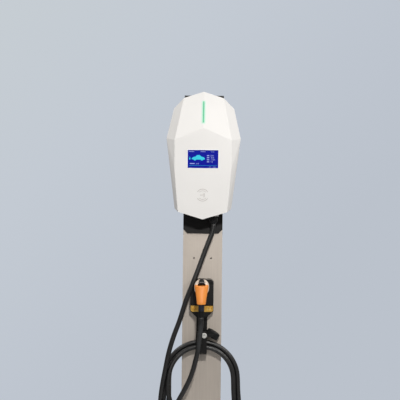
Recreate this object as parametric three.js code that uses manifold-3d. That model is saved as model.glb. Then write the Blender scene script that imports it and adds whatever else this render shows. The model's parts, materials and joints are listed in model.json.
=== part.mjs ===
// EV charging post: a faceted wall charger on a square steel post, with a plug holster,
// a cable hook, a pistol plug and its cable.  Millimetres, +Z up, +X to the right and
// -Y to the front.  The origin is on the floor, under the axis of the post.

import * as THREE from 'three';
import { ConvexGeometry } from 'three/addons/geometries/ConvexGeometry.js';
import { mergeVertices } from 'three/addons/utils/BufferGeometryUtils.js';
import Module from 'manifold-3d';

const wasm = await Module();
wasm.setup();

// ---- driving dimensions --------------------------------------------------------------

const GAP = 0.3;               // running gap between neighbouring solids
const HOLE_PLAY = 0.3;         // radial play of a shank or pin in its hole
const ROUND = 14;              // sides of a small round piece
const WIDE = 28;               // sides of a wide round piece and of its hole

// post
const POST_W = 132;
const POST_D = 80;
const POST_WALL = 3;
const POST_TOP = 1486;
const POST_CAP_T = 3;
const POST_CAP_PLUG = 12;      // how far the cap reaches into the tube
const SPARE_HOLE_R = 2.8;      // two free fixing holes in the post front
const SPARE_HOLE_X = 28.7;
const SPARE_HOLE_Z = 947;

// base plate
const BASE_SIDE = 250;
const BASE_T = 10;
const BASE_CORNER = 18;        // corner chamfer
const ANCHOR_R = 7;
const ANCHOR_X = 100;
const ENTRY_R = 17;            // cable entries, inside the foot of the post
const ENTRY_X = 34;

// mounting plate behind the charger
const PLATE_T = 4;
const PLATE_LOW = 1030.5;
const PLATE_HIGH = 1494.5;
const PLATE_CHAMFER = 14;

// charger shell: a faceted hood, measured from its bottom tip and from the plate
const TIP_Z = 1080;
const SHELL_H = 420;
const SHELL_WALL = 3;
const SHELL_DEPTH = 115;       // front face to plate
const RIM_DEPTH = 14;          // rear edge of the hood
const TOP_DEPTH = 70;          // top end of the front ridge
const SIDE_DEPTH = 42;         // where the side facets meet the straight rim
const SHOULDER_X = 66;
const SHOULDER_DROP = 21;      // drops are measured down from the apex
const SHOULDER_DEPTH = 67.3;
const CORNER_X = 101;
const CORNER_DROP = 51;
const WIDEST_X = 123.4;
const WIDEST_DROP = 153;
const RIDGE_DROP = 122;        // lower end of the ridge
const BROW_X = 93;             // upper corners of the flat front
const BROW_DROP = 162;
const CHEEK_DROP = 253;        // where the flat front starts to narrow
const CHIN_X = 80;
const CHIN_RISE = 24;          // rises are measured up from the tip
const JAW_X = 94;
const JAW_RISE = 34;
const HEEL_RISE = 6;

// rear case, a tray that the hood closes
const CASE_INSET = 1;
const CASE_WALL = 3;
const CASE_FLOOR = 3;
const GASKET_T = 1.7;
const CASE_SCREWS = [[86, 1395], [78, 1136]];   // one of each pair: half spacing, height
const CASE_BOSS_R = 6;
const CASE_SCREW_R = 2;
const CASE_SCREW_LENGTH = 22;
const CASE_HEAD_R = 3.8;
const CASE_HEAD_H = 3.4;
const CASE_HEAD_SUNK = 5;      // depth of the counterbore from the back
const PLATE_SCREWS = [[46, 1405], [46, 1160]];
const PLATE_SCREW_R = 2.7;
const PLATE_HEAD_R = 5.5;
const PLATE_HEAD_H = 3.6;
const SUPPLY_R = 12;           // bore of the supply grommet
const SUPPLY_WALL = 4;
const SUPPLY_LIP = 3.5;
const SUPPLY_Z = 1165;

// ridge light
const LIGHT_DROP = 33;          // upper end of the light bar below the apex
const LIGHT_LENGTH = 71;
const LIGHT_W = 3.6;
const LIGHT_T = 7;
const LIGHT_PROUD = 0.5;
const LIGHT_BOARD_W = 12;
const BOARD_T = 1.6;

// display and card reader
const WINDOW_W = 99;
const WINDOW_H = 58;
const WINDOW_Z = 1276;
const WINDOW_T = 2.2;
const WINDOW_SUNK = 0.3;
const MODULE_W = 108;
const MODULE_H = 68;
const MODULE_T = 7;
const READER_Z = 1159;
const READER_SIDE = 50;

// electronics on the rear tray
const BOARD_W = 128;
const BOARD_H = 176;
const BOARD_Z = 1290;
const STANDOFF = 9;
const STANDOFF_R = 4;
const STANDOFF_X = 54;
const STANDOFF_Z = 76;
const CONTACTOR = [45, 44, 72];        // width, depth, height
const CONTACTOR_AT = [-36, 1318];
const POWER = [52, 26, 46];
const POWER_AT = [30, 1340];
const TERMINAL = [74, 24, 22];
const TERMINAL_AT = [0, 1226];
const TERMINAL_WAYS = 5;
const SENSOR_R = 19;
const SENSOR_BORE = 9;
const SENSOR_H = 20;
const SENSOR_AT = [34, 1280];

// cable gland under the charger
const CABLE_R = 8;
const GLAND_X = 36;
const GLAND_DEPTH = 50;
const GLAND_SEAT = 1090;       // lower face of the boss in the hood
const GLAND_BOSS_R = 17;
const GLAND_BOSS_H = 14;
const GLAND_SHANK_R = 10;
const GLAND_HEX_R = 15;
const GLAND_FLANGE = 6;
const GLAND_NUT = 17.5;
const LOCKNUT_T = 5;

// plug holster
const HOLSTER_W = 77;
const HOLSTER_TOP = 879;
const HOLSTER_CORNER = 13;
const HOLSTER_STEP = 794;      // below this height the front is set back
const HOLSTER_WAIST = 773;
const HOLSTER_LOW = 753;
const HOLSTER_DEPTH = 47.7;
const HOLSTER_SETBACK = 8;
const SOCKET_PLAY = 3;
const SOCKET_DEPTH = 38;
const STRAP_W = 74;
const STRAP_H = 20;
const STRAP_T = 3;
const STRAP_CHAMFER = 4;
const STRAP_LOW = 771;
const STRAP_HOLE_X = 27;
const STRAP_SLOT = 7;          // length of the straight part of each slot
const STRAP_SCREW_R = 2.5;
const STRAP_HEAD_R = 5.2;
const STRAP_HEAD_H = 2.6;
const STRAP_SCREW_LENGTH = 18;
const HOLSTER_SCREW_X = 30.5;
const HOLSTER_SCREW_Z = 868;
const HOLSTER_SCREW_R = 2.2;
const HOLSTER_HEAD_R = 4.6;
const HOLSTER_HEAD_H = 3;

// cable hook
const HOOK_W = 36;
const HOOK_PLATE_T = 9.7;
const HOOK_THROAT = 36;
const HOOK_LIP_T = 10;
const HOOK_LOW = 630;
const HOOK_SADDLE = 646;
const HOOK_LIP_TOP = 706;
const HOOK_EDGE = 6;           // chamfer of the lower corners
const SADDLE_R = 99;           // crown of the saddle, as tight as the coil that lies on it
const HOOK_BOLT_X = 9.5;
const HOOK_BOLT_Z = 694;
const HOOK_BOLT_R = 4;
const HOOK_BOLT_HEAD_R = 8.7;
const HOOK_BOLT_HEAD_H = 5;
const HOOK_BOLT_LENGTH = 7;
const HOOK_SCREW_ZS = [742, 722];
const HOOK_SCREW_R = 2.5;
const HOOK_SCREW_HEAD_R = 5;
const HOOK_SCREW_HEAD_H = 3;

// pistol plug: its axis runs along Y
const PLUG_Z = 857;
const PLUG_R = 22;
const PLUG_WALL = 2.5;
const PLUG_MOUTH = 5;          // recess in front of the contacts
const PIN_LENGTH = 30;
const NECK = 19.7;             // visible neck between holster and head
const HEAD_LENGTH = 50;
const HEAD_HALF_W = 24.5;
const HEAD_HALF_H = 27;
const LEVER_SLOT_W = 19;
const LEVER_SLOT_FLOOR = 15;   // above the plug axis
const LEVER_W = 12.6;
const LEVER_LENGTH = 38;
const LEVER_PIVOT_BACK = 22;   // behind the start of the head
const LEVER_PIVOT_UP = 22;
const LEVER_PIN_R = 1.5;
const LEVER_PIN_LENGTH = 24;
const SPRING_WIRE_R = 0.45;
const SPRING_PITCH = 1.15;
const SPRING_TURNS = 1.6;
const GRIP_FOOT = 804;
const TAIL_BACK = 60;          // tail axis behind the start of the head
const GUN_NUT_R = 10;
const GUN_NUT_H = 20.7;
const RELIEF_H = 20.4;
const RELIEF_R = 9.6;
const RELIEF_END_R = 8.9;

// dust cap on its strap
const DUST_R = 23;
const DUST_T = 22;
const DUST_WALL = 2;
const DUST_TILT = 32;          // degrees from upright, towards +X
const DUST_X = 37.2;
const DUST_Z = 695.5;
const STRAP_TAB_T = 2;
const STRAP_TAB_R = 8;
const ARM_H = 10;
const ARM_LENGTH = 20;
const ARM_START = 20.6;

// coil of cable on the hook
const COIL_TOP_R = 130;
const COIL_LOW_R = 142;
const COIL_TOP_IN_R = 99.3;
const COIL_LOW_IN_R = 104;
const COIL_TOP_Z = 547;
const COIL_LOW_Z = 372;
const COIL_T = 32.6;

// ---- places worked out from them -----------------------------------------------------

const POST_FRONT = -POST_D / 2;
const PLATE_FRONT = POST_FRONT - GAP - PLATE_T;
const CASE_BACK = PLATE_FRONT - GAP;
const APEX_Z = TIP_Z + SHELL_H;
const LIGHT_HIGH = APEX_Z - LIGHT_DROP;
const LIGHT_LOW = LIGHT_HIGH - LIGHT_LENGTH;
const depthY = (depth) => CASE_BACK - depth;
const HOLSTER_BACK = POST_FRONT - GAP;
const HOLSTER_FRONT = HOLSTER_BACK - HOLSTER_DEPTH;
const STRAP_SEAT = HOLSTER_FRONT + HOLSTER_SETBACK;
const HOOK_PLATE_FRONT = HOLSTER_BACK - HOOK_PLATE_T;
const LIP_BACK = HOOK_PLATE_FRONT - HOOK_THROAT;
const LIP_FRONT = LIP_BACK - HOOK_LIP_T;
const HEAD_START = HOLSTER_FRONT - NECK;
const TAIL_Y = HEAD_START - TAIL_BACK;
const PLUG_TIP = HOLSTER_FRONT + SOCKET_DEPTH - SOCKET_PLAY;

// ---- materials -----------------------------------------------------------------------

function paint(color, roughness, metalness = 0) {
  return () => new THREE.MeshStandardMaterial({ color, roughness, metalness });
}

const galvanised = paint(0xb5ada3, 0.45, 0.8);
const blackSteel = paint(0x141516, 0.5, 0.3);
const whiteShell = paint(0xe9e8e8, 0.4);
const darkPlastic = paint(0x18191b, 0.5);
const blackRubber = paint(0x17181a, 0.75);
const glowGreen = paint(0x3fc486, 0.4);
const blueGlass = paint(0x1530a8, 0.2);
const circuitGreen = paint(0x1e5a3a, 0.5);
const greyPlastic = paint(0x8b8e92, 0.6);
const zincYellow = paint(0xe0b04a, 0.35, 0.8);
const brightSteel = paint(0xd8dadb, 0.25, 0.95);
const paleShell = paint(0xf1d9c6, 0.45);
const orangeGrip = paint(0xf59637, 0.5);
const copper = paint(0xb98a50, 0.35, 0.9);

// ---- geometry helpers ----------------------------------------------------------------

// One closed mesh with shared corners and outward faces.
function welded(geometry) {
  const bare = geometry.clone();
  bare.deleteAttribute('normal');
  bare.deleteAttribute('uv');
  const merged = mergeVertices(bare, 1e-4);
  const index = Array.from(merged.index.array);
  const kept = [];
  for (let i = 0; i < index.length; i += 3) {
    const [a, b, c] = index.slice(i, i + 3);
    if (a !== b && b !== c && c !== a) kept.push(a, b, c);
  }
  merged.setIndex(signedVolume(merged, kept) < 0 ? kept.reverse() : kept);
  return merged;
}

function signedVolume(geometry, index) {
  const corner = (i) => new THREE.Vector3().fromBufferAttribute(geometry.attributes.position, i);
  let sum = 0;
  for (let i = 0; i < index.length; i += 3) {
    const [a, b, c] = [corner(index[i]), corner(index[i + 1]), corner(index[i + 2])];
    sum += a.dot(b.cross(c)) / 6;
  }
  return sum;
}

function toSolid(geometry) {
  const mesh = welded(geometry);
  const vertProperties = new Float32Array(mesh.attributes.position.array);
  const triVerts = new Uint32Array(mesh.index.array);
  return new wasm.Manifold(new wasm.Mesh({ numProp: 3, vertProperties, triVerts }));
}

function toGeometry(body) {
  const mesh = body.getMesh();
  const geometry = new THREE.BufferGeometry();
  const position = new THREE.BufferAttribute(new Float32Array(mesh.vertProperties), 3);
  geometry.setAttribute('position', position);
  geometry.setIndex(new THREE.BufferAttribute(new Uint32Array(mesh.triVerts), 1));
  return geometry;
}

function cut(geometry, ...tools) {
  let body = toSolid(geometry);
  for (const tool of tools) body = body.subtract(toSolid(tool));
  return toGeometry(body);
}

function join(geometry, ...others) {
  let body = toSolid(geometry);
  for (const other of others) body = body.add(toSolid(other));
  return toGeometry(body);
}

function within(geometry, limit) {
  return toGeometry(toSolid(geometry).intersect(toSolid(limit)));
}

// A box from its lowest to its highest corner.
function span(x0, x1, y0, y1, z0, z1) {
  const box = new THREE.BoxGeometry(x1 - x0, y1 - y0, z1 - z0);
  return box.translate((x0 + x1) / 2, (y0 + y1) / 2, (z0 + z1) / 2);
}

// An outline in X and Z, given as points, extruded along Y from y0 (front) to y1 (back).
function slab(points, y0, y1) {
  return shapeSlab(new THREE.Shape(points.map(([x, z]) => new THREE.Vector2(x, z))), y0, y1);
}

function shapeSlab(shape, y0, y1, curveSegments = 12) {
  const options = { depth: y1 - y0, bevelEnabled: false, curveSegments };
  return new THREE.ExtrudeGeometry(shape, options).rotateX(Math.PI / 2).translate(0, y1, 0);
}

// A round bar along Y or along Z.
function barY(radius, y0, y1, x, z, sides = ROUND) {
  return new THREE.CylinderGeometry(radius, radius, y1 - y0, sides).translate(x, (y0 + y1) / 2, z);
}

function barZ(radius, z0, z1, x, y, sides = ROUND) {
  const bar = new THREE.CylinderGeometry(radius, radius, z1 - z0, sides).rotateX(Math.PI / 2);
  return bar.translate(x, y, (z0 + z1) / 2);
}

// A turned piece about Z; the profile lists radius and height.
function turnedZ(profile, x, y, sides = ROUND) {
  const points = profile.map(([r, z]) => new THREE.Vector2(r, z));
  return new THREE.LatheGeometry(points, sides).rotateX(Math.PI / 2).translate(x, y, 0);
}

// A screw along Y: seat is the plane under its head, and way points from head to tip.
function screw(headR, headH, shankR, length, seat, way, x, z, socket = headR * 0.5) {
  const profile = [[0, -headH], [headR * 0.82, -headH], [headR, -headH * 0.7], [headR, 0],
    [shankR, 0], [shankR, length], [0, length]];
  const points = profile.map(([r, y]) => new THREE.Vector2(r, y * way));
  const body = new THREE.LatheGeometry(points, ROUND);
  const drive = new THREE.CylinderGeometry(socket, socket, headH * 1.2, 6);
  drive.translate(0, -way * headH, 0);
  return cut(body, drive).translate(x, seat, z);
}

// A solid through a row of rings with the same number of points.
function loft(rings) {
  const count = rings[0].length;
  const corners = rings.flat();
  const index = [];
  const last = rings.length - 1;
  for (let r = 0; r < last; r += 1) {
    for (let i = 0; i < count; i += 1) {
      const j = (i + 1) % count;
      const [a, b] = [r * count + i, r * count + j];
      index.push(a, b, b + count, a, b + count, a + count);
    }
  }
  for (let i = 1; i < count - 1; i += 1) {
    index.push(0, i + 1, i);
    index.push(last * count, last * count + i, last * count + i + 1);
  }
  const geometry = new THREE.BufferGeometry();
  geometry.setFromPoints(corners);
  geometry.setIndex(index);
  return welded(geometry);
}

// A super-ellipse with half sizes a and b along the unit vectors u and v.
function ring(centre, u, v, a, b, power = 2.4, count = 24) {
  return Array.from({ length: count }, (_, i) => {
    const angle = (2 * Math.PI * i) / count;
    const [c, s] = [Math.cos(angle), Math.sin(angle)];
    const reach = (Math.abs(c) ** power + Math.abs(s) ** power) ** (-1 / power);
    return centre.clone().addScaledVector(u, a * c * reach).addScaledVector(v, b * s * reach);
  });
}

// A convex outline moved inwards by a distance.
function inset(points, distance) {
  const count = points.length;
  const edge = (i) => {
    const [ax, az] = points[i];
    const [bx, bz] = points[(i + 1) % count];
    const length = Math.hypot(bx - ax, bz - az);
    const [nx, nz] = [(bz - az) / length, (ax - bx) / length];
    return [nx, nz, nx * ax + nz * az - distance * turn];
  };
  const area = points.reduce((sum, [x, z], i) => {
    const [nextX, nextZ] = points[(i + 1) % count];
    return sum + x * nextZ - nextX * z;
  }, 0);
  const turn = Math.sign(area);
  return points.map((_, i) => {
    const [a1, b1, c1] = edge((i + count - 1) % count);
    const [a2, b2, c2] = edge(i);
    const det = a1 * b2 - a2 * b1;
    return [(c1 * b2 - c2 * b1) / det, (a1 * c2 - a2 * c1) / det];
  });
}

const bothSides = (pairs) => pairs.flatMap(([x, z]) => [[-x, z], [x, z]]);

// ---- assembly ------------------------------------------------------------------------

const post = new THREE.Group();

function add(name, geometry, material) {
  const mesh = new THREE.Mesh(geometry, material());
  mesh.name = name;
  post.add(mesh);
  return mesh;
}

function buildPost() {
  const half = BASE_SIDE / 2;
  const flat = half - BASE_CORNER;
  const outline = [[half, flat], [flat, half], [-flat, half], [-half, flat], [-half, -flat],
    [-flat, -half], [flat, -half], [half, -flat]];
  const plate = slab(outline, 0, BASE_T).rotateX(-Math.PI / 2);
  const anchors = [[-1, -1], [-1, 1], [1, -1], [1, 1]];
  const holes = anchors.map(([x, y]) => barZ(ANCHOR_R, -5, BASE_T + 5, x * ANCHOR_X, y * ANCHOR_X));
  const entries = [-1, 1].map((side) => barZ(ENTRY_R, -5, BASE_T + 5, side * ENTRY_X, 0));
  plate.computeBoundingBox();
  plate.translate(0, 0, -plate.boundingBox.min.z);
  add('base_plate', cut(plate, ...holes, ...entries), galvanised);

  const inX = POST_W / 2 - POST_WALL;
  const inY = POST_D / 2 - POST_WALL;
  const low = BASE_T + GAP;
  const tube = span(-POST_W / 2, POST_W / 2, -POST_D / 2, POST_D / 2, low, POST_TOP);
  const duct = span(-inX, inX, -inY, inY, low - 5, POST_TOP + 5);
  const wallBack = POST_FRONT + POST_WALL + 5;
  const frontHole = (radius, x, z, sides) => barY(radius, POST_FRONT - 5, wallBack, x, z, sides);
  const spare = [-1, 1].map((side) => frontHole(SPARE_HOLE_R, side * SPARE_HOLE_X, SPARE_HOLE_Z));
  const fixings = [
    ...bothSides(PLATE_SCREWS).map(([x, z]) => frontHole(PLATE_SCREW_R + HOLE_PLAY, x, z)),
    ...bothSides([[HOLSTER_SCREW_X, HOLSTER_SCREW_Z]])
      .map(([x, z]) => frontHole(HOLSTER_SCREW_R + HOLE_PLAY, x, z)),
    ...HOOK_SCREW_ZS.map((z) => frontHole(HOOK_SCREW_R + HOLE_PLAY, 0, z)),
    frontHole(SUPPLY_R + SUPPLY_WALL + GAP, 0, SUPPLY_Z, WIDE),
  ];
  add('post_column', cut(tube, duct, ...spare, ...fixings), galvanised);

  const lid = span(-POST_W / 2, POST_W / 2, -POST_D / 2, POST_D / 2,
    POST_TOP + GAP, POST_TOP + GAP + POST_CAP_T);
  const plugX = inX - GAP;
  const plugY = inY - GAP;
  const plug = span(-plugX, plugX, -plugY, plugY, POST_TOP - POST_CAP_PLUG, POST_TOP + POST_CAP_T);
  add('post_top_cap', join(lid, plug), blackRubber);
}

function buildMountingPlate() {
  const half = POST_W / 2;
  const outline = [[-half, PLATE_HIGH], [-half, PLATE_LOW + PLATE_CHAMFER],
    [-half + PLATE_CHAMFER, PLATE_LOW], [half - PLATE_CHAMFER, PLATE_LOW],
    [half, PLATE_LOW + PLATE_CHAMFER], [half, PLATE_HIGH]];
  const plate = slab(outline, PLATE_FRONT, PLATE_FRONT + PLATE_T);
  const through = (radius, x, z, sides) => barY(radius, PLATE_FRONT - 5, POST_FRONT + 5, x, z, sides);
  const holes = bothSides(PLATE_SCREWS).map(([x, z]) => through(PLATE_SCREW_R + HOLE_PLAY, x, z));
  const supply = through(SUPPLY_R + SUPPLY_WALL + GAP, 0, SUPPLY_Z, WIDE);
  add('mounting_plate', cut(plate, ...holes, supply), blackSteel);
}

// The outline of the hood's rear edge, as points of X and Z.
function rimOutline() {
  const right = [[0, APEX_Z], [SHOULDER_X, APEX_Z - SHOULDER_DROP], [CORNER_X, APEX_Z - CORNER_DROP],
    [WIDEST_X, APEX_Z - WIDEST_DROP], [JAW_X, TIP_Z + JAW_RISE], [0, TIP_Z + HEEL_RISE]];
  const left = right.slice(1, -1).reverse().map(([x, z]) => [-x, z]);
  return [...right, ...left];
}

// The hood's solid outer form, or its hollow when wall is above 0.
function hoodForm(wall) {
  const middle = (APEX_Z + TIP_Z) / 2;
  const corners = [];
  const corner = (x, z, depth) => {
    const inZ = z - Math.sign(z - middle) * wall;
    const inX = Math.max(x - wall, 0);
    const inDepth = depth === 0 ? RIM_DEPTH - wall : depth - wall;
    for (const side of inX === 0 ? [1] : [-1, 1]) {
      corners.push(new THREE.Vector3(side * inX, depthY(inDepth), inZ));
    }
  };
  rimOutline().filter(([x]) => x >= 0).forEach(([x, z]) => corner(x, z, 0));
  corner(0, APEX_Z, TOP_DEPTH);
  corner(SHOULDER_X, APEX_Z - SHOULDER_DROP, SHOULDER_DEPTH);
  corner(WIDEST_X, APEX_Z - WIDEST_DROP, SIDE_DEPTH);
  corner(JAW_X, TIP_Z + JAW_RISE, SIDE_DEPTH);
  corner(0, APEX_Z - RIDGE_DROP, SHELL_DEPTH);
  corner(BROW_X, APEX_Z - BROW_DROP, SHELL_DEPTH);
  corner(BROW_X, APEX_Z - CHEEK_DROP, SHELL_DEPTH);
  corner(CHIN_X, TIP_Z + CHIN_RISE, SHELL_DEPTH);
  corner(0, TIP_Z, SHELL_DEPTH);
  return new ConvexGeometry(corners);
}

// A bar laid along the front ridge: its front face stands proud of the ridge line.
function ridgeBar(width, thickness, extra, sunk) {
  const slope = Math.atan2(SHELL_DEPTH - TOP_DEPTH, RIDGE_DROP);
  const middleZ = (LIGHT_LOW + LIGHT_HIGH) / 2;
  const down = (middleZ - (APEX_Z - RIDGE_DROP)) * Math.tan(slope);
  const length = (LIGHT_HIGH - LIGHT_LOW) / Math.cos(slope) + extra;
  const bar = new THREE.BoxGeometry(width, thickness, length);
  bar.translate(0, thickness / 2 + sunk, 0);
  return bar.rotateX(-slope).translate(0, depthY(SHELL_DEPTH - down), middleZ);
}

function buildHood() {
  const outer = hoodForm(0);
  const glandY = depthY(GLAND_DEPTH);
  const glandBoss = barZ(GLAND_BOSS_R, GLAND_SEAT, GLAND_SEAT + GLAND_BOSS_H, GLAND_X, glandY, WIDE);
  const rimY = depthY(RIM_DEPTH + GAP);
  const bosses = bothSides(CASE_SCREWS)
    .map(([x, z]) => within(barY(CASE_BOSS_R, depthY(SHELL_DEPTH), rimY, x, z), outer));
  const shell = join(cut(outer, hoodForm(SHELL_WALL)), glandBoss, ...bosses);
  const pilots = bothSides(CASE_SCREWS).map(([x, z]) => barY(CASE_SCREW_R + HOLE_PLAY,
    depthY(CASE_SCREW_LENGTH + CASE_HEAD_SUNK + 2), depthY(0), x, z));
  const window = span(-WINDOW_W / 2 - GAP, WINDOW_W / 2 + GAP,
    depthY(SHELL_DEPTH + 5), depthY(SHELL_DEPTH - SHELL_WALL - 5),
    WINDOW_Z - WINDOW_H / 2 - GAP, WINDOW_Z + WINDOW_H / 2 + GAP);
  const light = ridgeBar(LIGHT_W + 2 * GAP, LIGHT_T + 20, 2 * GAP, -10);
  const glandHole = barZ(GLAND_SHANK_R + HOLE_PLAY, GLAND_SEAT - 5,
    GLAND_SEAT + GLAND_BOSS_H + 5, GLAND_X, glandY, WIDE);
  add('front_shell', cut(shell, ...pilots, window, light, glandHole), whiteShell);
}

function buildRearCase() {
  const outline = rimOutline();
  const rimDepth = RIM_DEPTH - 2 * GAP - GASKET_T;
  const tray = slab(inset(outline, CASE_INSET), depthY(rimDepth), depthY(0));
  const hollow = slab(inset(outline, CASE_INSET + CASE_WALL), depthY(rimDepth + 5), depthY(CASE_FLOOR));
  const pillars = bothSides(CASE_SCREWS)
    .map(([x, z]) => barY(CASE_BOSS_R, depthY(rimDepth), depthY(0), x, z));
  const standoffs = bothSides([[STANDOFF_X, BOARD_Z + STANDOFF_Z], [STANDOFF_X, BOARD_Z - STANDOFF_Z]])
    .map(([x, z]) => barY(STANDOFF_R, depthY(CASE_FLOOR + STANDOFF), depthY(CASE_FLOOR - 1), x, z, 12));
  const holes = [
    ...bothSides(CASE_SCREWS).map(([x, z]) => barY(CASE_SCREW_R + HOLE_PLAY,
      depthY(rimDepth + 5), depthY(-5), x, z)),
    ...bothSides(CASE_SCREWS).map(([x, z]) => barY(CASE_HEAD_R + HOLE_PLAY,
      depthY(CASE_HEAD_SUNK), depthY(-5), x, z)),
    ...bothSides(PLATE_SCREWS).map(([x, z]) => barY(PLATE_SCREW_R + HOLE_PLAY,
      depthY(CASE_FLOOR + 5), depthY(-5), x, z)),
    barY(SUPPLY_R + SUPPLY_WALL + GAP, depthY(CASE_FLOOR + 5), depthY(-5), 0, SUPPLY_Z, WIDE),
  ];
  add('rear_case', cut(join(cut(tray, hollow), ...pillars, ...standoffs), ...holes), darkPlastic);

  const ringFront = depthY(RIM_DEPTH - GAP);
  const ringBack = depthY(rimDepth + GAP);
  const band = slab(inset(outline, CASE_INSET), ringFront, ringBack);
  const inside = slab(inset(outline, CASE_INSET + CASE_WALL - GAP), ringFront - 5, ringBack + 5);
  const clear = bothSides(CASE_SCREWS)
    .map(([x, z]) => barY(CASE_BOSS_R + GAP, ringFront - 5, ringBack + 5, x, z));
  add('case_gasket', cut(band, inside, ...clear), blackRubber);
}

function buildCaseFixings() {
  bothSides(CASE_SCREWS).forEach(([x, z], i) => {
    const seat = depthY(CASE_HEAD_SUNK - GAP);
    const body = screw(CASE_HEAD_R, CASE_HEAD_H, CASE_SCREW_R, CASE_SCREW_LENGTH, seat, -1, x, z);
    add(`case_screw_${i + 1}`, body, brightSteel);
  });
  bothSides(PLATE_SCREWS).forEach(([x, z], i) => {
    const seat = depthY(CASE_FLOOR + GAP);
    const length = POST_FRONT + POST_WALL + 2 - seat;
    const body = screw(PLATE_HEAD_R, PLATE_HEAD_H, PLATE_SCREW_R, length, seat, 1, x, z);
    add(`plate_screw_${i + 1}`, body, brightSteel);
  });
  const flange = depthY(CASE_FLOOR + GAP);
  const tube = SUPPLY_R + SUPPLY_WALL;
  const body = join(barY(tube, flange - 1, POST_FRONT + POST_WALL + 2, 0, SUPPLY_Z, WIDE),
    barY(tube + SUPPLY_LIP, flange - 2.5, flange, 0, SUPPLY_Z, WIDE));
  const bore = barY(SUPPLY_R, flange - 10, POST_FRONT + POST_WALL + 10, 0, SUPPLY_Z, WIDE);
  add('supply_grommet', cut(body, bore), blackRubber);
}

function buildFrontUnits() {
  add('led_light_guide', ridgeBar(LIGHT_W, LIGHT_T, 0, -LIGHT_PROUD), glowGreen);
  const behind = LIGHT_T - LIGHT_PROUD + GAP;
  add('led_board', ridgeBar(LIGHT_BOARD_W, BOARD_T, 0, behind), circuitGreen);

  const glassFront = depthY(SHELL_DEPTH - WINDOW_SUNK);
  add('display_window', span(-WINDOW_W / 2, WINDOW_W / 2, glassFront, glassFront + WINDOW_T,
    WINDOW_Z - WINDOW_H / 2, WINDOW_Z + WINDOW_H / 2), blueGlass);
  const wallBack = depthY(SHELL_DEPTH - SHELL_WALL) + GAP;
  add('display_module', span(-MODULE_W / 2, MODULE_W / 2, wallBack, wallBack + MODULE_T,
    WINDOW_Z - MODULE_H / 2, WINDOW_Z + MODULE_H / 2), darkPlastic);
  const half = READER_SIDE / 2;
  add('rfid_board', span(-half, half, wallBack, wallBack + BOARD_T, READER_Z - half, READER_Z + half),
    circuitGreen);
}

function buildElectronics() {
  const boardBack = depthY(CASE_FLOOR + STANDOFF + GAP);
  const boardFront = boardBack - BOARD_T;
  add('main_board', span(-BOARD_W / 2, BOARD_W / 2, boardFront, boardBack,
    BOARD_Z - BOARD_H / 2, BOARD_Z + BOARD_H / 2), circuitGreen);
  const seat = boardFront - GAP;
  const block = ([w, d, h], [x, z]) => span(x - w / 2, x + w / 2, seat - d, seat, z - h / 2, z + h / 2);
  add('contactor', block(CONTACTOR, CONTACTOR_AT), greyPlastic);
  add('power_module', block(POWER, POWER_AT), darkPlastic);

  const [w, d, h] = TERMINAL;
  const pitch = w / TERMINAL_WAYS;
  const wells = Array.from({ length: TERMINAL_WAYS }, (_, i) => barY(pitch * 0.3, seat - d - 5,
    seat - d * 0.4, TERMINAL_AT[0] + (i - (TERMINAL_WAYS - 1) / 2) * pitch, TERMINAL_AT[1], 12));
  add('terminal_block', cut(block([w, d, h], TERMINAL_AT), ...wells), greyPlastic);

  const [sx, sz] = SENSOR_AT;
  const core = barY(SENSOR_R, seat - SENSOR_H, seat, sx, sz, WIDE);
  const bore = barY(SENSOR_BORE, seat - SENSOR_H - 5, seat + 5, sx, sz, WIDE);
  add('leakage_sensor', cut(core, bore), darkPlastic);
}

function buildOutletGland() {
  const y = depthY(GLAND_DEPTH);
  const under = GLAND_SEAT - GAP;
  const above = GLAND_SEAT + GLAND_BOSS_H + GAP;
  const flange = barZ(GLAND_HEX_R, under - GLAND_FLANGE, under, GLAND_X, y, 6);
  const shankTop = above + LOCKNUT_T + 3;
  const shank = barZ(GLAND_SHANK_R, under - GLAND_FLANGE, shankTop, GLAND_X, y);
  add('outlet_gland_body', join(flange, shank), darkPlastic);

  const lock = barZ(GLAND_HEX_R, above, above + LOCKNUT_T, GLAND_X, y, 6);
  const bore = barZ(GLAND_SHANK_R + HOLE_PLAY, above - 5, above + LOCKNUT_T + 5, GLAND_X, y);
  add('outlet_gland_locknut', cut(lock, bore), darkPlastic);

  const top = under - GLAND_FLANGE - GAP;
  const low = top - GLAND_NUT;
  const nut = turnedZ([[0, low], [CABLE_R + 2, low], [CABLE_R + 4, low + 3],
    [GLAND_HEX_R - 1, low + 9], [GLAND_HEX_R - 1, top], [0, top]], GLAND_X, y, 12);
  add('outlet_gland_nut', nut, darkPlastic);
}

function holsterOutline() {
  const half = HOLSTER_W / 2;
  const stem = HOOK_W / 2;
  const arcX = half - HOLSTER_CORNER;
  const arcZ = HOLSTER_TOP - HOLSTER_CORNER;
  const shape = new THREE.Shape();
  shape.moveTo(stem, HOLSTER_LOW);
  shape.lineTo(half, HOLSTER_WAIST);
  shape.absarc(arcX, arcZ, HOLSTER_CORNER, 0, Math.PI / 2);
  shape.absarc(-arcX, arcZ, HOLSTER_CORNER, Math.PI / 2, Math.PI);
  shape.lineTo(-half, HOLSTER_WAIST);
  shape.lineTo(-stem, HOLSTER_LOW);
  return shape;
}

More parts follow.
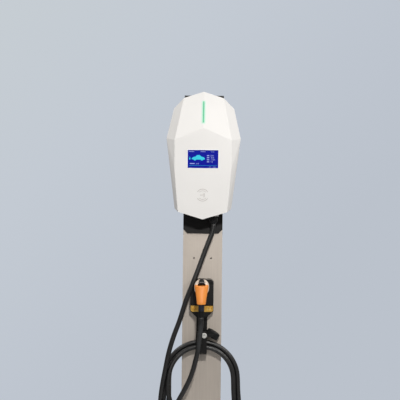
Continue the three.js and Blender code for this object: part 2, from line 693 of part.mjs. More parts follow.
function buildHolster() {
  const body = shapeSlab(holsterOutline(), HOLSTER_FRONT, HOLSTER_BACK, 8);
  const socket = barY(PLUG_R + SOCKET_PLAY, HOLSTER_FRONT - 5, HOLSTER_FRONT + SOCKET_DEPTH,
    0, PLUG_Z - SOCKET_PLAY / 2, 36);
  const setback = span(-HOLSTER_W, HOLSTER_W, HOLSTER_FRONT - 5, STRAP_SEAT,
    HOLSTER_LOW - 5, HOLSTER_STEP);
  const screwHoles = [-1, 1].flatMap((side) => [
    barY(HOLSTER_SCREW_R + HOLE_PLAY, HOLSTER_FRONT - 5, HOLSTER_BACK + 5,
      side * HOLSTER_SCREW_X, HOLSTER_SCREW_Z),
    barY(STRAP_SCREW_R + HOLE_PLAY, STRAP_SEAT - 5, STRAP_SEAT + STRAP_SCREW_LENGTH,
      side * STRAP_HOLE_X, STRAP_LOW + STRAP_H / 2),
  ]);
  add('holster_body', cut(body, socket, setback, ...screwHoles), darkPlastic);
  [['left', -1], ['right', 1]].forEach(([name, side]) => {
    const length = POST_FRONT + POST_WALL + 2 - HOLSTER_FRONT + GAP;
    add(`holster_screw_${name}`, screw(HOLSTER_HEAD_R, HOLSTER_HEAD_H, HOLSTER_SCREW_R, length,
      HOLSTER_FRONT - GAP, 1, side * HOLSTER_SCREW_X, HOLSTER_SCREW_Z), blackSteel);
  });
}

function buildStrap() {
  const [half, low, high] = [STRAP_W / 2, STRAP_LOW, STRAP_LOW + STRAP_H];
  const outline = [[-half + STRAP_CHAMFER, low], [half - STRAP_CHAMFER, low],
    [half, low + STRAP_CHAMFER], [half, high], [-half, high], [-half, low + STRAP_CHAMFER]];
  const back = STRAP_SEAT - GAP;
  const plate = slab(outline, back - STRAP_T, back);
  const middle = low + STRAP_H / 2;
  const holeR = STRAP_SCREW_R + HOLE_PLAY;
  const slots = [-1, 1].flatMap((side) => {
    const x = side * STRAP_HOLE_X;
    const ends = [-1, 1].map((way) => barY(holeR, back - STRAP_T - 5, back + 5,
      x + (way * STRAP_SLOT) / 2, middle));
    const bridge = span(x - STRAP_SLOT / 2, x + STRAP_SLOT / 2, back - STRAP_T - 5, back + 5,
      middle - holeR, middle + holeR);
    return [...ends, bridge];
  });
  add('holster_strap', cut(plate, ...slots), zincYellow);
  [['left', -1], ['right', 1]].forEach(([name, side]) => {
    add(`strap_screw_${name}`, screw(STRAP_HEAD_R, STRAP_HEAD_H, STRAP_SCREW_R,
      STRAP_SCREW_LENGTH - 1, back - STRAP_T - GAP, 1, side * STRAP_HOLE_X, middle), zincYellow);
  });
}

function buildHook() {
  const [back, front] = [HOLSTER_BACK, HOOK_PLATE_FRONT];
  const side = [[back, HOLSTER_LOW - GAP], [front, HOLSTER_LOW - GAP], [front, HOOK_SADDLE],
    [LIP_BACK, HOOK_SADDLE], [LIP_BACK, HOOK_LIP_TOP], [LIP_FRONT + HOOK_EDGE / 2, HOOK_LIP_TOP],
    [LIP_FRONT, HOOK_LIP_TOP - HOOK_EDGE / 2], [LIP_FRONT, HOOK_LOW + HOOK_EDGE],
    [LIP_FRONT + HOOK_EDGE, HOOK_LOW], [back, HOOK_LOW]];
  const profile = new THREE.Shape(side.map(([y, z]) => new THREE.Vector2(y, z)));
  const body = new THREE.ExtrudeGeometry(profile, { depth: HOOK_W, bevelEnabled: false });
  body.rotateX(Math.PI / 2).rotateZ(Math.PI / 2).translate(-HOOK_W / 2, 0, 0);
  body.computeBoundingBox();
  body.translate(-body.boundingBox.min.x - HOOK_W / 2, 0, 0);

  const crown = barY(SADDLE_R, LIP_BACK - 1, front + 1, 0, HOOK_SADDLE - SADDLE_R, 96);
  const throat = span(-HOOK_W, HOOK_W, LIP_BACK, front, HOOK_SADDLE - 6, HOOK_SADDLE + 5);
  const boltHoles = [-1, 1].map((way) => barY(HOOK_BOLT_R + HOLE_PLAY, LIP_FRONT - 5,
    LIP_FRONT + HOOK_BOLT_LENGTH + 1, way * HOOK_BOLT_X, HOOK_BOLT_Z));
  const screwHoles = HOOK_SCREW_ZS.map((z) => barY(HOOK_SCREW_R + HOLE_PLAY, front - 5, back + 5, 0, z));
  add('cable_hook', cut(body, cut(throat, crown), ...boltHoles, ...screwHoles), darkPlastic);

  HOOK_SCREW_ZS.forEach((z, i) => {
    const seat = front - GAP;
    const length = POST_FRONT + POST_WALL + 2 - seat;
    add(`hook_screw_${i + 1}`, screw(HOOK_SCREW_HEAD_R, HOOK_SCREW_HEAD_H, HOOK_SCREW_R, length,
      seat, 1, 0, z), blackSteel);
  });
  const tabSpace = { left: 0, right: STRAP_TAB_T + GAP };
  [['left', -1], ['right', 1]].forEach(([name, way]) => {
    const seat = LIP_FRONT - GAP - tabSpace[name];
    add(`hook_bolt_${name}`, screw(HOOK_BOLT_HEAD_R, HOOK_BOLT_HEAD_H, HOOK_BOLT_R,
      HOOK_BOLT_LENGTH + tabSpace[name], seat, 1, way * HOOK_BOLT_X, HOOK_BOLT_Z), brightSteel);
  });
}

// The rounded head of the plug, grown on every side by a margin.
function headForm(margin) {
  const right = new THREE.Vector3(1, 0, 0);
  const up = new THREE.Vector3(0, 0, 1);
  const rings = [[0, 0.92, 0.9, 0], [0.12, 0.99, 0.985, 0], [0.45, 1, 1, 0], [0.72, 0.98, 0.97, 0],
    [0.9, 0.88, 0.86, 1], [1, 0.66, 0.64, 2]];
  return loft(rings.map(([along, a, b, lift], i) => {
    const grow = i === 0 ? -margin : margin * (i === rings.length - 1 ? 1 : 0);
    const y = HEAD_START - along * HEAD_LENGTH - grow;
    const centre = new THREE.Vector3(0, y, PLUG_Z + lift);
    return ring(centre, right, up, HEAD_HALF_W * a + margin, HEAD_HALF_H * b + margin);
  }));
}

function gripForm() {
  const right = new THREE.Vector3(1, 0, 0);
  const back = new THREE.Vector3(0, 1, 0);
  const foot = TAIL_Y;
  const rings = [[GRIP_FOOT, foot, 14.2, 15.5], [GRIP_FOOT + 9, foot + 2, 15.6, 16.5],
    [GRIP_FOOT + 27, foot + 8, 18.6, 18.5], [GRIP_FOOT + 47, foot + 16.5, 21.5, 20],
    [GRIP_FOOT + 57, foot + 16.5, 20.5, 18], [GRIP_FOOT + 63, foot + 15, 15, 13]];
  return loft(rings.map(([z, y, a, b]) => ring(new THREE.Vector3(0, y, z), right, back, a, b)));
}

function leverPlace() {
  return [HEAD_START - LEVER_PIVOT_BACK, PLUG_Z + LEVER_PIVOT_UP];
}

function barX(radius, x0, x1, y, z, sides = 16) {
  const bar = new THREE.CylinderGeometry(radius, radius, x1 - x0, sides).rotateZ(Math.PI / 2);
  return bar.translate((x0 + x1) / 2, y, z);
}

function buildGunBody() {
  const [pivotY, pivotZ] = leverPlace();
  const half = LEVER_SLOT_W / 2;
  const slotFront = HEAD_START - LEVER_LENGTH - 8;
  const slot = span(-half, half, slotFront, HEAD_START - 4, PLUG_Z + LEVER_SLOT_FLOOR, PLUG_Z + 60);
  const pinHalf = LEVER_PIN_LENGTH / 2 + HOLE_PLAY;
  const pinHole = barX(LEVER_PIN_R + HOLE_PLAY, -pinHalf, pinHalf, pivotY, pivotZ);
  add('gun_head', cut(headForm(0), slot, pinHole), paleShell);
  add('gun_grip', cut(gripForm(), headForm(GAP)), orangeGrip);

  add('lever_pin', barX(LEVER_PIN_R, 1 - pinHalf, pinHalf - 1, pivotY, pivotZ), brightSteel);
  const profile = new THREE.Shape([[-16, -3], [-14, 4.2], [-6, 5.2], [4, 4.4], [14, 6.2], [21, 4],
    [22, 1], [20, -2.4], [8, -2.6], [2, -4]].map(([y, z]) => new THREE.Vector2(-y, z)));
  const lever = new THREE.ExtrudeGeometry(profile, { depth: LEVER_W, bevelEnabled: false });
  lever.rotateX(Math.PI / 2).rotateZ(Math.PI / 2);
  lever.computeBoundingBox();
  lever.translate(-lever.boundingBox.min.x - LEVER_W / 2, pivotY, pivotZ);
  add('release_lever', cut(lever, barX(LEVER_PIN_R + HOLE_PLAY, -20, 20, pivotY, pivotZ)), darkPlastic);
}

class Helix extends THREE.Curve {
  constructor(radius, pitch, turns, start) {
    super();
    Object.assign(this, { radius, pitch, turns, start });
  }

  getPoint(t, target = new THREE.Vector3()) {
    const angle = 2 * Math.PI * this.turns * t;
    const along = this.start.x + this.pitch * this.turns * t;
    return target.set(along, this.start.y + this.radius * Math.cos(angle),
      this.start.z + this.radius * Math.sin(angle));
  }
}

function roundSection(radius, sides) {
  return new THREE.Shape(Array.from({ length: sides }, (_, i) => {
    const angle = (2 * Math.PI * i) / sides;
    return new THREE.Vector2(radius * Math.cos(angle), radius * Math.sin(angle));
  }));
}

function tube(curve, radius, sides, steps) {
  const options = { steps, bevelEnabled: false, extrudePath: curve };
  return new THREE.ExtrudeGeometry(roundSection(radius, sides), options);
}

function buildLeverSpring() {
  const [pivotY, pivotZ] = leverPlace();
  const coilR = LEVER_PIN_R + SPRING_WIRE_R + GAP;
  const start = new THREE.Vector3(LEVER_W / 2 + GAP + SPRING_WIRE_R, pivotY, pivotZ);
  const helix = new Helix(coilR, SPRING_PITCH, SPRING_TURNS, start);
  add('lever_spring', tube(helix, SPRING_WIRE_R, 8, 24), brightSteel);
}

// Contact places: radius from the plug axis, angle in degrees and pin radius.
const CONTACTS = [[10.5, 125, 2.6], [10.5, 55, 2.6], [11, 270, 2.6], [11.5, 205, 1.6], [11.5, 335, 1.6]];

function buildPlug() {
  const outer = barY(PLUG_R, HEAD_START + GAP, PLUG_TIP, 0, PLUG_Z, 32);
  const mouth = barY(PLUG_R - PLUG_WALL, PLUG_TIP - PLUG_MOUTH, PLUG_TIP + 5, 0, PLUG_Z, 32);
  const pinFront = PLUG_TIP - PLUG_MOUTH - PIN_LENGTH;
  const places = CONTACTS.map(([away, degrees, radius]) => {
    const angle = THREE.MathUtils.degToRad(degrees);
    return [away * Math.cos(angle), PLUG_Z + away * Math.sin(angle), radius];
  });
  const bores = places.map(([x, z, radius]) => barY(radius + GAP, pinFront - GAP,
    PLUG_TIP + 5, x, z, 16));
  add('plug_housing', cut(outer, mouth, ...bores), darkPlastic);
  places.forEach(([x, z, radius], i) => {
    const pin = barY(radius, pinFront, PLUG_TIP - PLUG_MOUTH - 1, x, z, 16);
    add(`contact_pin_${i + 1}`, pin, copper);
  });
}

function buildTail() {
  const nutTop = GRIP_FOOT - GAP;
  const nutLow = nutTop - GUN_NUT_H;
  add('gun_gland_nut', turnedZ([[0, nutLow], [GUN_NUT_R - 1, nutLow], [GUN_NUT_R, nutLow + 2],
    [GUN_NUT_R, nutTop - 1], [GUN_NUT_R - 1, nutTop], [0, nutTop]], 0, TAIL_Y, 12), darkPlastic);
  const top = nutLow - GAP;
  add('strain_relief', turnedZ([[0, top - RELIEF_H], [RELIEF_END_R, top - RELIEF_H],
    [RELIEF_R, top - 1.5], [RELIEF_R - 1, top], [0, top]], 0, TAIL_Y), blackRubber);
}

function buildDustCap() {
  const tilt = THREE.MathUtils.degToRad(DUST_TILT);
  const middleY = (HOOK_PLATE_FRONT + LIP_BACK) / 2;
  const body = barZ(DUST_R, -DUST_T / 2, DUST_T / 2, 0, 0, 32);
  const hollow = barZ(DUST_R - DUST_WALL, -DUST_T / 2 - 5, DUST_T / 2 - 2 * DUST_WALL, 0, 0, 32);
  const cap = cut(body, hollow).rotateY(tilt).translate(DUST_X, middleY, DUST_Z);
  add('dust_cap', cap, blackRubber);

  const tabFront = LIP_FRONT - GAP - STRAP_TAB_T;
  const tab = join(barY(STRAP_TAB_R, tabFront, LIP_FRONT - GAP, HOOK_BOLT_X, HOOK_BOLT_Z),
    span(HOOK_BOLT_X, ARM_START - GAP, tabFront, LIP_FRONT - GAP,
      HOOK_BOLT_Z - ARM_H / 2, HOOK_BOLT_Z + ARM_H / 2));
  const eye = barY(HOOK_BOLT_R + HOLE_PLAY, tabFront - 5, LIP_FRONT + 5, HOOK_BOLT_X, HOOK_BOLT_Z);
  add('cap_strap_anchor', cut(tab, eye), blackRubber);
  add('cap_strap_arm', span(ARM_START, ARM_START + ARM_LENGTH, tabFront, middleY - DUST_R - GAP,
    HOOK_BOLT_Z - ARM_H / 2, HOOK_BOLT_Z + ARM_H / 2), blackRubber);
}

// ---- cable ---------------------------------------------------------------------------

// From the gland under the charger, past the holster, down to the left side of the coil.
const CHARGER_RUN = [[36, -94.6, 1065.3], [35.4, -94.6, 1052], [32, -94.7, 1036], [24, -95, 1014],
  [13, -95.5, 986], [-1.5, -96, 945], [-25, -100.2, 880], [-51, -99, 813], [-73, -97, 742],
  [-94, -96, 684], [-108, -95, 634], [-118, -94, 582], [-127, -93.2, 532], [-134, -92.7, 486],
  [-136.5, -92.6, 458]];

// From the left side of the coil, round a hanging loop, and up to the plug.
const PLUG_RUN = [[-110, -92.7, 520], [-106, -92.9, 491], [-97, -93.5, 462], [-80, -94.5, 431],
  [-53, -95.5, 398], [-33, -96.5, 362], [-29, -98, 326], [-41, -100, 292], [-68, -102, 270],
  [-102, -104, 266], [-135, -106, 281], [-156, -108, 310], [-158, -110, 346], [-141, -112, 382],
  [-114, -113, 416], [-88, -113.5, 454], [-66, -113.5, 493], [-48, -113, 527], [-34, -112.7, 558],
  [-23.5, -112.5, 592], [-15, -112.7, 626], [-10, -114.4, 648], [-7.5, -120.4, 667],
  [-5.5, -131, 685], [-3.5, -146, 703], [-2, -157.5, 721], [-0.8, -164.3, 738],
  [0, -167.3, 752], [0, -167.7, 762]];

function cordCurve(points) {
  const knots = points.map(([x, y, z]) => new THREE.Vector3(x, y, z));
  return new THREE.CatmullRomCurve3(knots, false, 'centripetal');
}

function coilShape() {
  const shape = new THREE.Shape();
  shape.absarc(0, COIL_TOP_Z, COIL_TOP_R, 0, Math.PI);
  shape.absarc(0, COIL_LOW_Z, COIL_LOW_R, Math.PI, 2 * Math.PI);
  const hole = new THREE.Path();
  hole.absarc(0, COIL_TOP_Z, COIL_TOP_IN_R, 0, Math.PI);
  hole.absarc(0, COIL_LOW_Z, COIL_LOW_IN_R, Math.PI, 2 * Math.PI);
  shape.holes.push(hole);
  return shape;
}

function buildCable() {
  const middleY = (HOOK_PLATE_FRONT + LIP_BACK) / 2;
  const coil = shapeSlab(coilShape(), middleY - COIL_T / 2, middleY + COIL_T / 2, 20);
  add('cable_coil', coil, blackRubber);
  add('cable_from_charger', tube(cordCurve(CHARGER_RUN), CABLE_R, 10, 22), blackRubber);
  add('cable_to_gun', tube(cordCurve(PLUG_RUN), CABLE_R, 10, 34), blackRubber);
}

buildPost();
buildMountingPlate();
buildRearCase();
buildHood();
buildCaseFixings();
buildFrontUnits();
buildElectronics();
buildOutletGland();
buildHolster();
buildStrap();
buildHook();
buildGunBody();
buildLeverSpring();
buildPlug();
buildTail();
buildDustCap();
buildCable();

export default post;
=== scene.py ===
"""EV charging post: finishes, the charging cable and the finer pieces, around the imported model."""

import json
import math

import bmesh
import bpy
from mathutils import Matrix, Vector

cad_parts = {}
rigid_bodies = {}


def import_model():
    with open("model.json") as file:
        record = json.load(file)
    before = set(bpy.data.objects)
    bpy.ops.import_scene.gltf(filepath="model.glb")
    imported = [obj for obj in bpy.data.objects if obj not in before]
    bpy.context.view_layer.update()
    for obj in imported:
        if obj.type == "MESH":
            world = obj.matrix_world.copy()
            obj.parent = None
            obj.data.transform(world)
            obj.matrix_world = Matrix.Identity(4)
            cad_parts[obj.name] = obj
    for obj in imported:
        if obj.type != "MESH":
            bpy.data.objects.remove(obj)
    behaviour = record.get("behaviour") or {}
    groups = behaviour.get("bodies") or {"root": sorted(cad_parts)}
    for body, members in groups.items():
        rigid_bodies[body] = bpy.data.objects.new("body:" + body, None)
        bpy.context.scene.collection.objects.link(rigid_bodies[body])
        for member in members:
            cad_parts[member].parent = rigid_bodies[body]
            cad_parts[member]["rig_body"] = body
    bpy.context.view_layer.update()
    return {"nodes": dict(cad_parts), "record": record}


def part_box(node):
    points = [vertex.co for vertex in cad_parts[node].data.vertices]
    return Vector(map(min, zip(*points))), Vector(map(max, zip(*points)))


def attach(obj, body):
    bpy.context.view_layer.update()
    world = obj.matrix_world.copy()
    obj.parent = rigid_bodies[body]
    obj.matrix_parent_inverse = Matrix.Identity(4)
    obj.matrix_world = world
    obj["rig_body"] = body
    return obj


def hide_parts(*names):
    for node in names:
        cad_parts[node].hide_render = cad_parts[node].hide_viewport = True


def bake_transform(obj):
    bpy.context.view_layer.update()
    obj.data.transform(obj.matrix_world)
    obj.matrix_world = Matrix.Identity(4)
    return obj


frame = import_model()
SLOTS = {row["node"]: row["material_slot"] for row in frame["record"]["subparts"]}

MM = 0.001
X, Y, Z = Vector((1, 0, 0)), Vector((0, 1, 0)), Vector((0, 0, 1))
MERGE = 1e-6               # corners closer than this are one
FLAT_ANGLE = 1.0           # degrees between CAD facets that still count as one flat face


# ---- small tools ---------------------------------------------------------------------

def linear(red, green, blue):
    """A screen colour of 0 to 255 as linear light."""
    def channel(value):
        value /= 255
        return value / 12.92 if value <= 0.04045 else ((value + 0.055) / 1.055) ** 2.4
    return (channel(red), channel(green), channel(blue), 1)


def lo(node):
    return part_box(node)[0]


def hi(node):
    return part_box(node)[1]


def middle(node):
    return (lo(node) + hi(node)) / 2


def new_object(name, mesh):
    piece = bpy.data.objects.new(name, mesh)
    bpy.context.scene.collection.objects.link(piece)
    return piece


def mesh_object(name, corners, faces, smooth=True):
    """A mesh from its corners and faces; a closed one gets its faces turned outwards."""
    mesh = bpy.data.meshes.new(name)
    mesh.from_pydata([tuple(c) for c in corners], [], faces)
    fix = bmesh.new()
    fix.from_mesh(mesh)
    bmesh.ops.remove_doubles(fix, verts=fix.verts, dist=MERGE)
    bmesh.ops.recalc_face_normals(fix, faces=fix.faces)
    fix.to_mesh(mesh)
    fix.free()
    for face in mesh.polygons:
        face.use_smooth = smooth
    return new_object(name, mesh)


def between_rings(count, first, second):
    """Faces between two rings of corners, each ring given by its number."""
    faces = []
    for i in range(count):
        j = (i + 1) % count
        faces.append((first * count + i, first * count + j, second * count + j, second * count + i))
    return faces


def ring_corners(rings):
    return [point for ring in rings for point in ring]


def loft(name, rings):
    """A skin through rings with the same number of points, closed at both ends."""
    count = len(rings[0])
    last = len(rings) - 1
    faces = []
    for r in range(last):
        faces += between_rings(count, r, r + 1)
    faces.append(tuple(range(count))[::-1])
    faces.append(tuple(last * count + i for i in range(count)))
    return mesh_object(name, ring_corners(rings), faces)


def hoop(name, rings):
    """A skin through rings that runs back from the last one to the first, like a picture frame."""
    faces = []
    for r in range(len(rings)):
        faces += between_rings(len(rings[0]), r, (r + 1) % len(rings))
    return mesh_object(name, ring_corners(rings), faces)


def oval(centre, u, v, a, b, power=2.3, count=32):
    """A super-ellipse with half sizes a and b along u and v."""
    points = []
    for i in range(count):
        angle = 2 * math.pi * i / count
        c, s = math.cos(angle), math.sin(angle)
        reach = (abs(c) ** power + abs(s) ** power) ** (-1 / power)
        points.append(Vector(centre) + Vector(u) * (a * c * reach) + Vector(v) * (b * s * reach))
    return points


def turned(name, profile, origin, axis, count=32):
    """A round piece: profile lists distance along the axis and radius."""
    axis = Vector(axis).normalized()
    side = axis.orthogonal().normalized()
    up = axis.cross(side)
    rings = [oval(Vector(origin) + axis * along, side, up, radius, radius, 2, count)
             for along, radius in profile]
    return loft(name, rings)


def box_piece(name, low, high):
    cube = bmesh.new()
    bmesh.ops.create_cube(cube, size=1)
    size = Vector(high) - Vector(low)
    bmesh.ops.scale(cube, vec=size, verts=cube.verts)
    bmesh.ops.translate(cube, vec=(Vector(low) + Vector(high)) / 2, verts=cube.verts)
    mesh = bpy.data.meshes.new(name)
    cube.to_mesh(mesh)
    cube.free()
    return new_object(name, mesh)


def soften(piece, width, segments=3, angle=20):
    """Rounds the sharp edges and keeps flat faces flat."""
    bevel = piece.modifiers.new("Bevel", "BEVEL")
    bevel.width = width
    bevel.segments = segments
    bevel.limit_method = "ANGLE"
    bevel.angle_limit = math.radians(angle)
    bevel.use_clamp_overlap = True
    even = piece.modifiers.new("Even", "WEIGHTED_NORMAL")
    even.keep_sharp = True
    for face in piece.data.polygons:
        face.use_smooth = True
    return piece


def subdivide(piece, levels=2):
    sub = piece.modifiers.new("Subdivision", "SUBSURF")
    sub.levels = levels
    sub.render_levels = levels
    return piece


def put(piece, body, material):
    """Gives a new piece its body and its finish."""
    piece.data.materials.clear()
    piece.data.materials.append(material)
    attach(piece, body)
    return piece


def refined(node, width, segments=3, angle=20):
    """Stands for a CAD node: a copy with its flat faces merged and its edges rounded."""
    source = frame["nodes"][node]
    mesh = source.data.copy()
    clean = bmesh.new()
    clean.from_mesh(mesh)
    bmesh.ops.remove_doubles(clean, verts=clean.verts, dist=MERGE)
    bmesh.ops.dissolve_limit(clean, angle_limit=math.radians(FLAT_ANGLE),
                             verts=clean.verts, edges=clean.edges)
    bmesh.ops.recalc_face_normals(clean, faces=clean.faces)
    clean.to_mesh(mesh)
    clean.free()
    piece = new_object(node + "_skin", mesh)
    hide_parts(node)
    return soften(piece, width, segments, angle)


bpy.context.scene.view_settings.view_transform = "Standard"


# ---- camera --------------------------------------------------------------------------

CAMERA_AWAY = 3.2          # from the charger's front face
CAMERA_SIDE = 0.060
CAMERA_HEIGHT = 1.143
CAMERA_ROLL = 0.64         # degrees
PIXEL = 3.25 * MM          # width of one pixel at the charger's front face
IMAGE_PX = 400
SENSOR = 36.0
AIM_X = -0.0095            # the post stands a little right of the middle
AIM_Y = -0.1
FAR_CLIP = 50


def add_camera():
    data = bpy.data.cameras.new("Camera")
    data.sensor_width = SENSOR
    data.lens = CAMERA_AWAY / PIXEL * SENSOR / IMAGE_PX
    data.clip_end = FAR_CLIP
    camera = bpy.data.objects.new("Camera", data)
    bpy.context.scene.collection.objects.link(camera)
    front = lo("front_shell").y
    place = Vector((CAMERA_SIDE, front - CAMERA_AWAY, CAMERA_HEIGHT))
    aim = Vector((AIM_X, AIM_Y, CAMERA_HEIGHT))
    turn = (aim - place).to_track_quat("-Z", "Y").to_matrix()
    roll = Matrix.Rotation(math.radians(CAMERA_ROLL), 3, "Z")
    camera.matrix_world = Matrix.Translation(place) @ (turn @ roll).to_4x4()
    bpy.context.scene.camera = camera


# ---- finishes ------------------------------------------------------------------------

MIX_A, MIX_B, MIX_RESULT = 6, 7, 2       # the colour sockets of a Mix node


def set_stops(ramp, stops):
    """Gives a colour ramp its stops."""
    points = ramp.color_ramp.elements
    while len(points) < len(stops):
        points.new(0.5)
    for point, (at, color) in zip(points, stops):
        point.position = at
        point.color = color


class Finish:
    """A node material built in a few steps."""

    def __init__(self, name, rough=0.5, metal=0.0, **sockets):
        self.material = bpy.data.materials.new(name)
        self.material.use_nodes = True
        self.tree = self.material.node_tree
        self.shader = self.tree.nodes["Principled BSDF"]
        self.shader.inputs["Roughness"].default_value = rough
        self.shader.inputs["Metallic"].default_value = metal
        for socket, value in sockets.items():
            self.shader.inputs[socket.replace("_", " ")].default_value = value
        place = self.node("ShaderNodeTexCoord")
        self.place = place.outputs["Object"]
        self.bumps = None

    def node(self, kind, **settings):
        made = self.tree.nodes.new(kind)
        for key, value in settings.items():
            setattr(made, key, value)
        return made

    def link(self, source, target):
        self.tree.links.new(source, target)

    def stretched(self, scale):
        mapping = self.node("ShaderNodeMapping")
        mapping.inputs["Scale"].default_value = scale
        self.link(self.place, mapping.inputs["Vector"])
        return mapping.outputs["Vector"]

    def noise(self, scale, detail=3.0, rough=0.55, stretch=(1, 1, 1)):
        texture = self.node("ShaderNodeTexNoise")
        texture.inputs["Scale"].default_value = scale
        texture.inputs["Detail"].default_value = detail
        texture.inputs["Roughness"].default_value = rough
        self.link(self.stretched(stretch), texture.inputs["Vector"])
        return texture.outputs["Fac"]

    def ramp(self, source, stops):
        ramp = self.node("ShaderNodeValToRGB")
        set_stops(ramp, stops)
        self.link(source, ramp.inputs["Fac"])
        return ramp.outputs["Color"]

    def spread(self, source, low, high):
        span = self.node("ShaderNodeMapRange")
        span.inputs["To Min"].default_value = low
        span.inputs["To Max"].default_value = high
        self.link(source, span.inputs["Value"])
        return span.outputs["Result"]

    def color(self, source):
        self.link(source, self.shader.inputs["Base Color"])
        return self

    def rough(self, source):
        self.link(source, self.shader.inputs["Roughness"])
        return self

    def bump(self, height, strength, distance=0.0005):
        bump = self.node("ShaderNodeBump")
        bump.inputs["Strength"].default_value = strength
        bump.inputs["Distance"].default_value = distance
        self.link(height, bump.inputs["Height"])
        if self.bumps is not None:
            self.link(self.bumps, bump.inputs["Normal"])
        self.bumps = bump.outputs["Normal"]
        self.link(self.bumps, self.shader.inputs["Normal"])
        return self


def shade(color, factor):
    return (color[0] * factor, color[1] * factor, color[2] * factor, 1)


def grained(name, color, rough, variation=0.12, grain=900, strength=0.15, metal=0.0, **sockets):
    """A moulded surface: slight colour drift, uneven gloss and a fine grain."""
    made = Finish(name, rough, metal, **sockets)
    stops = [(0.3, shade(color, 1 - variation)), (0.7, shade(color, 1 + variation))]
    made.color(made.ramp(made.noise(9, 4), stops))
    made.rough(made.spread(made.noise(40, 3), rough - 0.07, rough + 0.07))
    made.bump(made.noise(grain, 2), strength, 0.0002)
    return made.material


def brushed_post():
    """Galvanised sheet: fine lengthwise brushing over a faint cloudy bloom."""
    color = linear(213, 203, 192)
    made = Finish("brushed_galvanised", 0.5, 0.25)
    streaks = made.noise(420, 5, 0.62, (1, 1, 0.012))
    blotches = made.noise(16, 4, 0.6, (1, 1, 0.3))
    bloom = made.ramp(blotches, [(0.3, shade(color, 0.96)), (0.7, shade(color, 1.03))])
    brushing = made.ramp(streaks, [(0.3, (0.9, 0.9, 0.9, 1)), (0.7, (1, 1, 1, 1))])
    mix = made.node("ShaderNodeMix", data_type="RGBA", blend_type="MULTIPLY")
    mix.inputs["Factor"].default_value = 1
    made.link(bloom, mix.inputs[MIX_A])
    made.link(brushing, mix.inputs[MIX_B])
    made.color(mix.outputs[MIX_RESULT])
    made.rough(made.spread(streaks, 0.44, 0.6))
    made.bump(streaks, 0.1, 0.0002)
    return made.material


def steel(name, color, rough, metal=0.95):
    """Bright metal with faint wear."""
    made = Finish(name, rough, metal)
    wear = made.noise(120, 4)
    made.color(made.ramp(wear, [(0.3, shade(color, 0.82)), (0.7, shade(color, 1.05))]))
    made.rough(made.spread(made.noise(400, 3), rough - 0.06, rough + 0.1))
    made.bump(made.noise(700, 3), 0.05, 0.0001)
    return made.material


def zinc():
    """Yellow passivated zinc, with its uneven straw to amber tint."""
    gold = linear(236, 188, 86)
    made = Finish("yellow_zinc", 0.38, 0.35)
    tint = made.noise(55, 4)
    stops = [(0.25, linear(196, 136, 50)), (0.5, gold), (0.75, linear(252, 230, 160))]
    made.color(made.ramp(tint, stops))
    made.rough(made.spread(made.noise(160, 3), 0.3, 0.46))
    made.bump(made.noise(500, 3), 0.08, 0.0002)
    return made.material


def glowing(name, color, strength, base=0.5):
    """A lit, slightly cloudy surface."""
    made = Finish(name, 0.4)
    made.shader.inputs["Specular IOR Level"].default_value = 0.04
    made.shader.inputs["Emission Strength"].default_value = strength
    glow = made.ramp(made.noise(80, 2), [(0.3, shade(color, 0.92)), (0.7, color)])
    made.link(glow, made.shader.inputs["Emission Color"])
    made.shader.inputs["Base Color"].default_value = shade(color, base)
    return made.material


def green_board():
    """Green lacquer with the edges of copper tracks showing through."""
    color = linear(22, 84, 52)
    made = Finish("solder_mask", 0.4)
    tracks = made.noise(300, 1, 0.2, (1, 1, 0.1))
    made.color(made.ramp(tracks, [(0.48, shade(color, 0.7)), (0.52, color)]))
    made.bump(tracks, 0.1, 0.0001)
    return made.material


def sheath():
    """Satin cable jacket with fine scuffs."""
    color = linear(15, 15, 15)
    made = Finish("cable_sheath", 0.36)
    made.shader.inputs["Specular IOR Level"].default_value = 0.85
    made.color(made.ramp(made.noise(30, 4), [(0.3, shade(color, 0.7)), (0.7, shade(color, 1.4))]))
    made.rough(made.spread(made.noise(90, 4), 0.3, 0.48))
    made.bump(made.noise(600, 3), 0.12, 0.0002)
    return made.material


# The shell's colour gets a painted green glow around the light bar; these set where that painted glow fades
# in and is full.
GLOW_SIDE, GLOW_CORE = 9 * MM, 2 * MM    # where the light bar's green starts and is full, sideways
GLOW_OUT, GLOW_IN = 6 * MM, 3 * MM       # the same past and inside the bar's ends


def shell_paint():
    """Moulded white cover, with the light bar's green glow painted into its colour around the bar."""
    made = Finish("white_shell", 0.45)
    made.shader.inputs["Specular IOR Level"].default_value = 0.25
    white = linear(240, 239, 237)
    painted_glow_green = linear(196, 244, 222)
    plain = made.ramp(made.noise(9, 4), [(0.3, shade(white, 0.985)), (0.7, shade(white, 1.015))])
    low, high = lo("led_light_guide"), hi("led_light_guide")
    split = made.node("ShaderNodeSeparateXYZ")
    made.link(made.place, split.inputs["Vector"])
    across = made.node("ShaderNodeMath", operation="ABSOLUTE")
    made.link(split.outputs["X"], across.inputs[0])

    def fade(source, start, end):
        span = made.node("ShaderNodeMapRange", interpolation_type="SMOOTHSTEP")
        span.inputs["From Min"].default_value = start
        span.inputs["From Max"].default_value = end
        made.link(source, span.inputs["Value"])
        return span.outputs["Result"]

    def times(first, second):
        product = made.node("ShaderNodeMath", operation="MULTIPLY")
        made.link(first, product.inputs[0])
        made.link(second, product.inputs[1])
        return product.outputs["Value"]

    beside = fade(across.outputs["Value"], GLOW_SIDE, GLOW_CORE)
    above = fade(split.outputs["Z"], low.z - GLOW_OUT, low.z + GLOW_IN)
    below = fade(split.outputs["Z"], high.z + GLOW_OUT, high.z - GLOW_IN)
    # Mixes the painted green glow of the light bar into the shell's white, strongest right beside the bar.
    mix = made.node("ShaderNodeMix", data_type="RGBA")
    made.link(times(beside, times(above, below)), mix.inputs["Factor"])
    made.link(plain, mix.inputs[MIX_A])
    mix.inputs[MIX_B].default_value = painted_glow_green
    made.color(mix.outputs[MIX_RESULT])
    made.rough(made.spread(made.noise(40, 3), 0.4, 0.52))
    made.bump(made.noise(1600, 2), 0.04, 0.0002)
    return made.material


DULL = {"Specular_IOR_Level": 0.3}

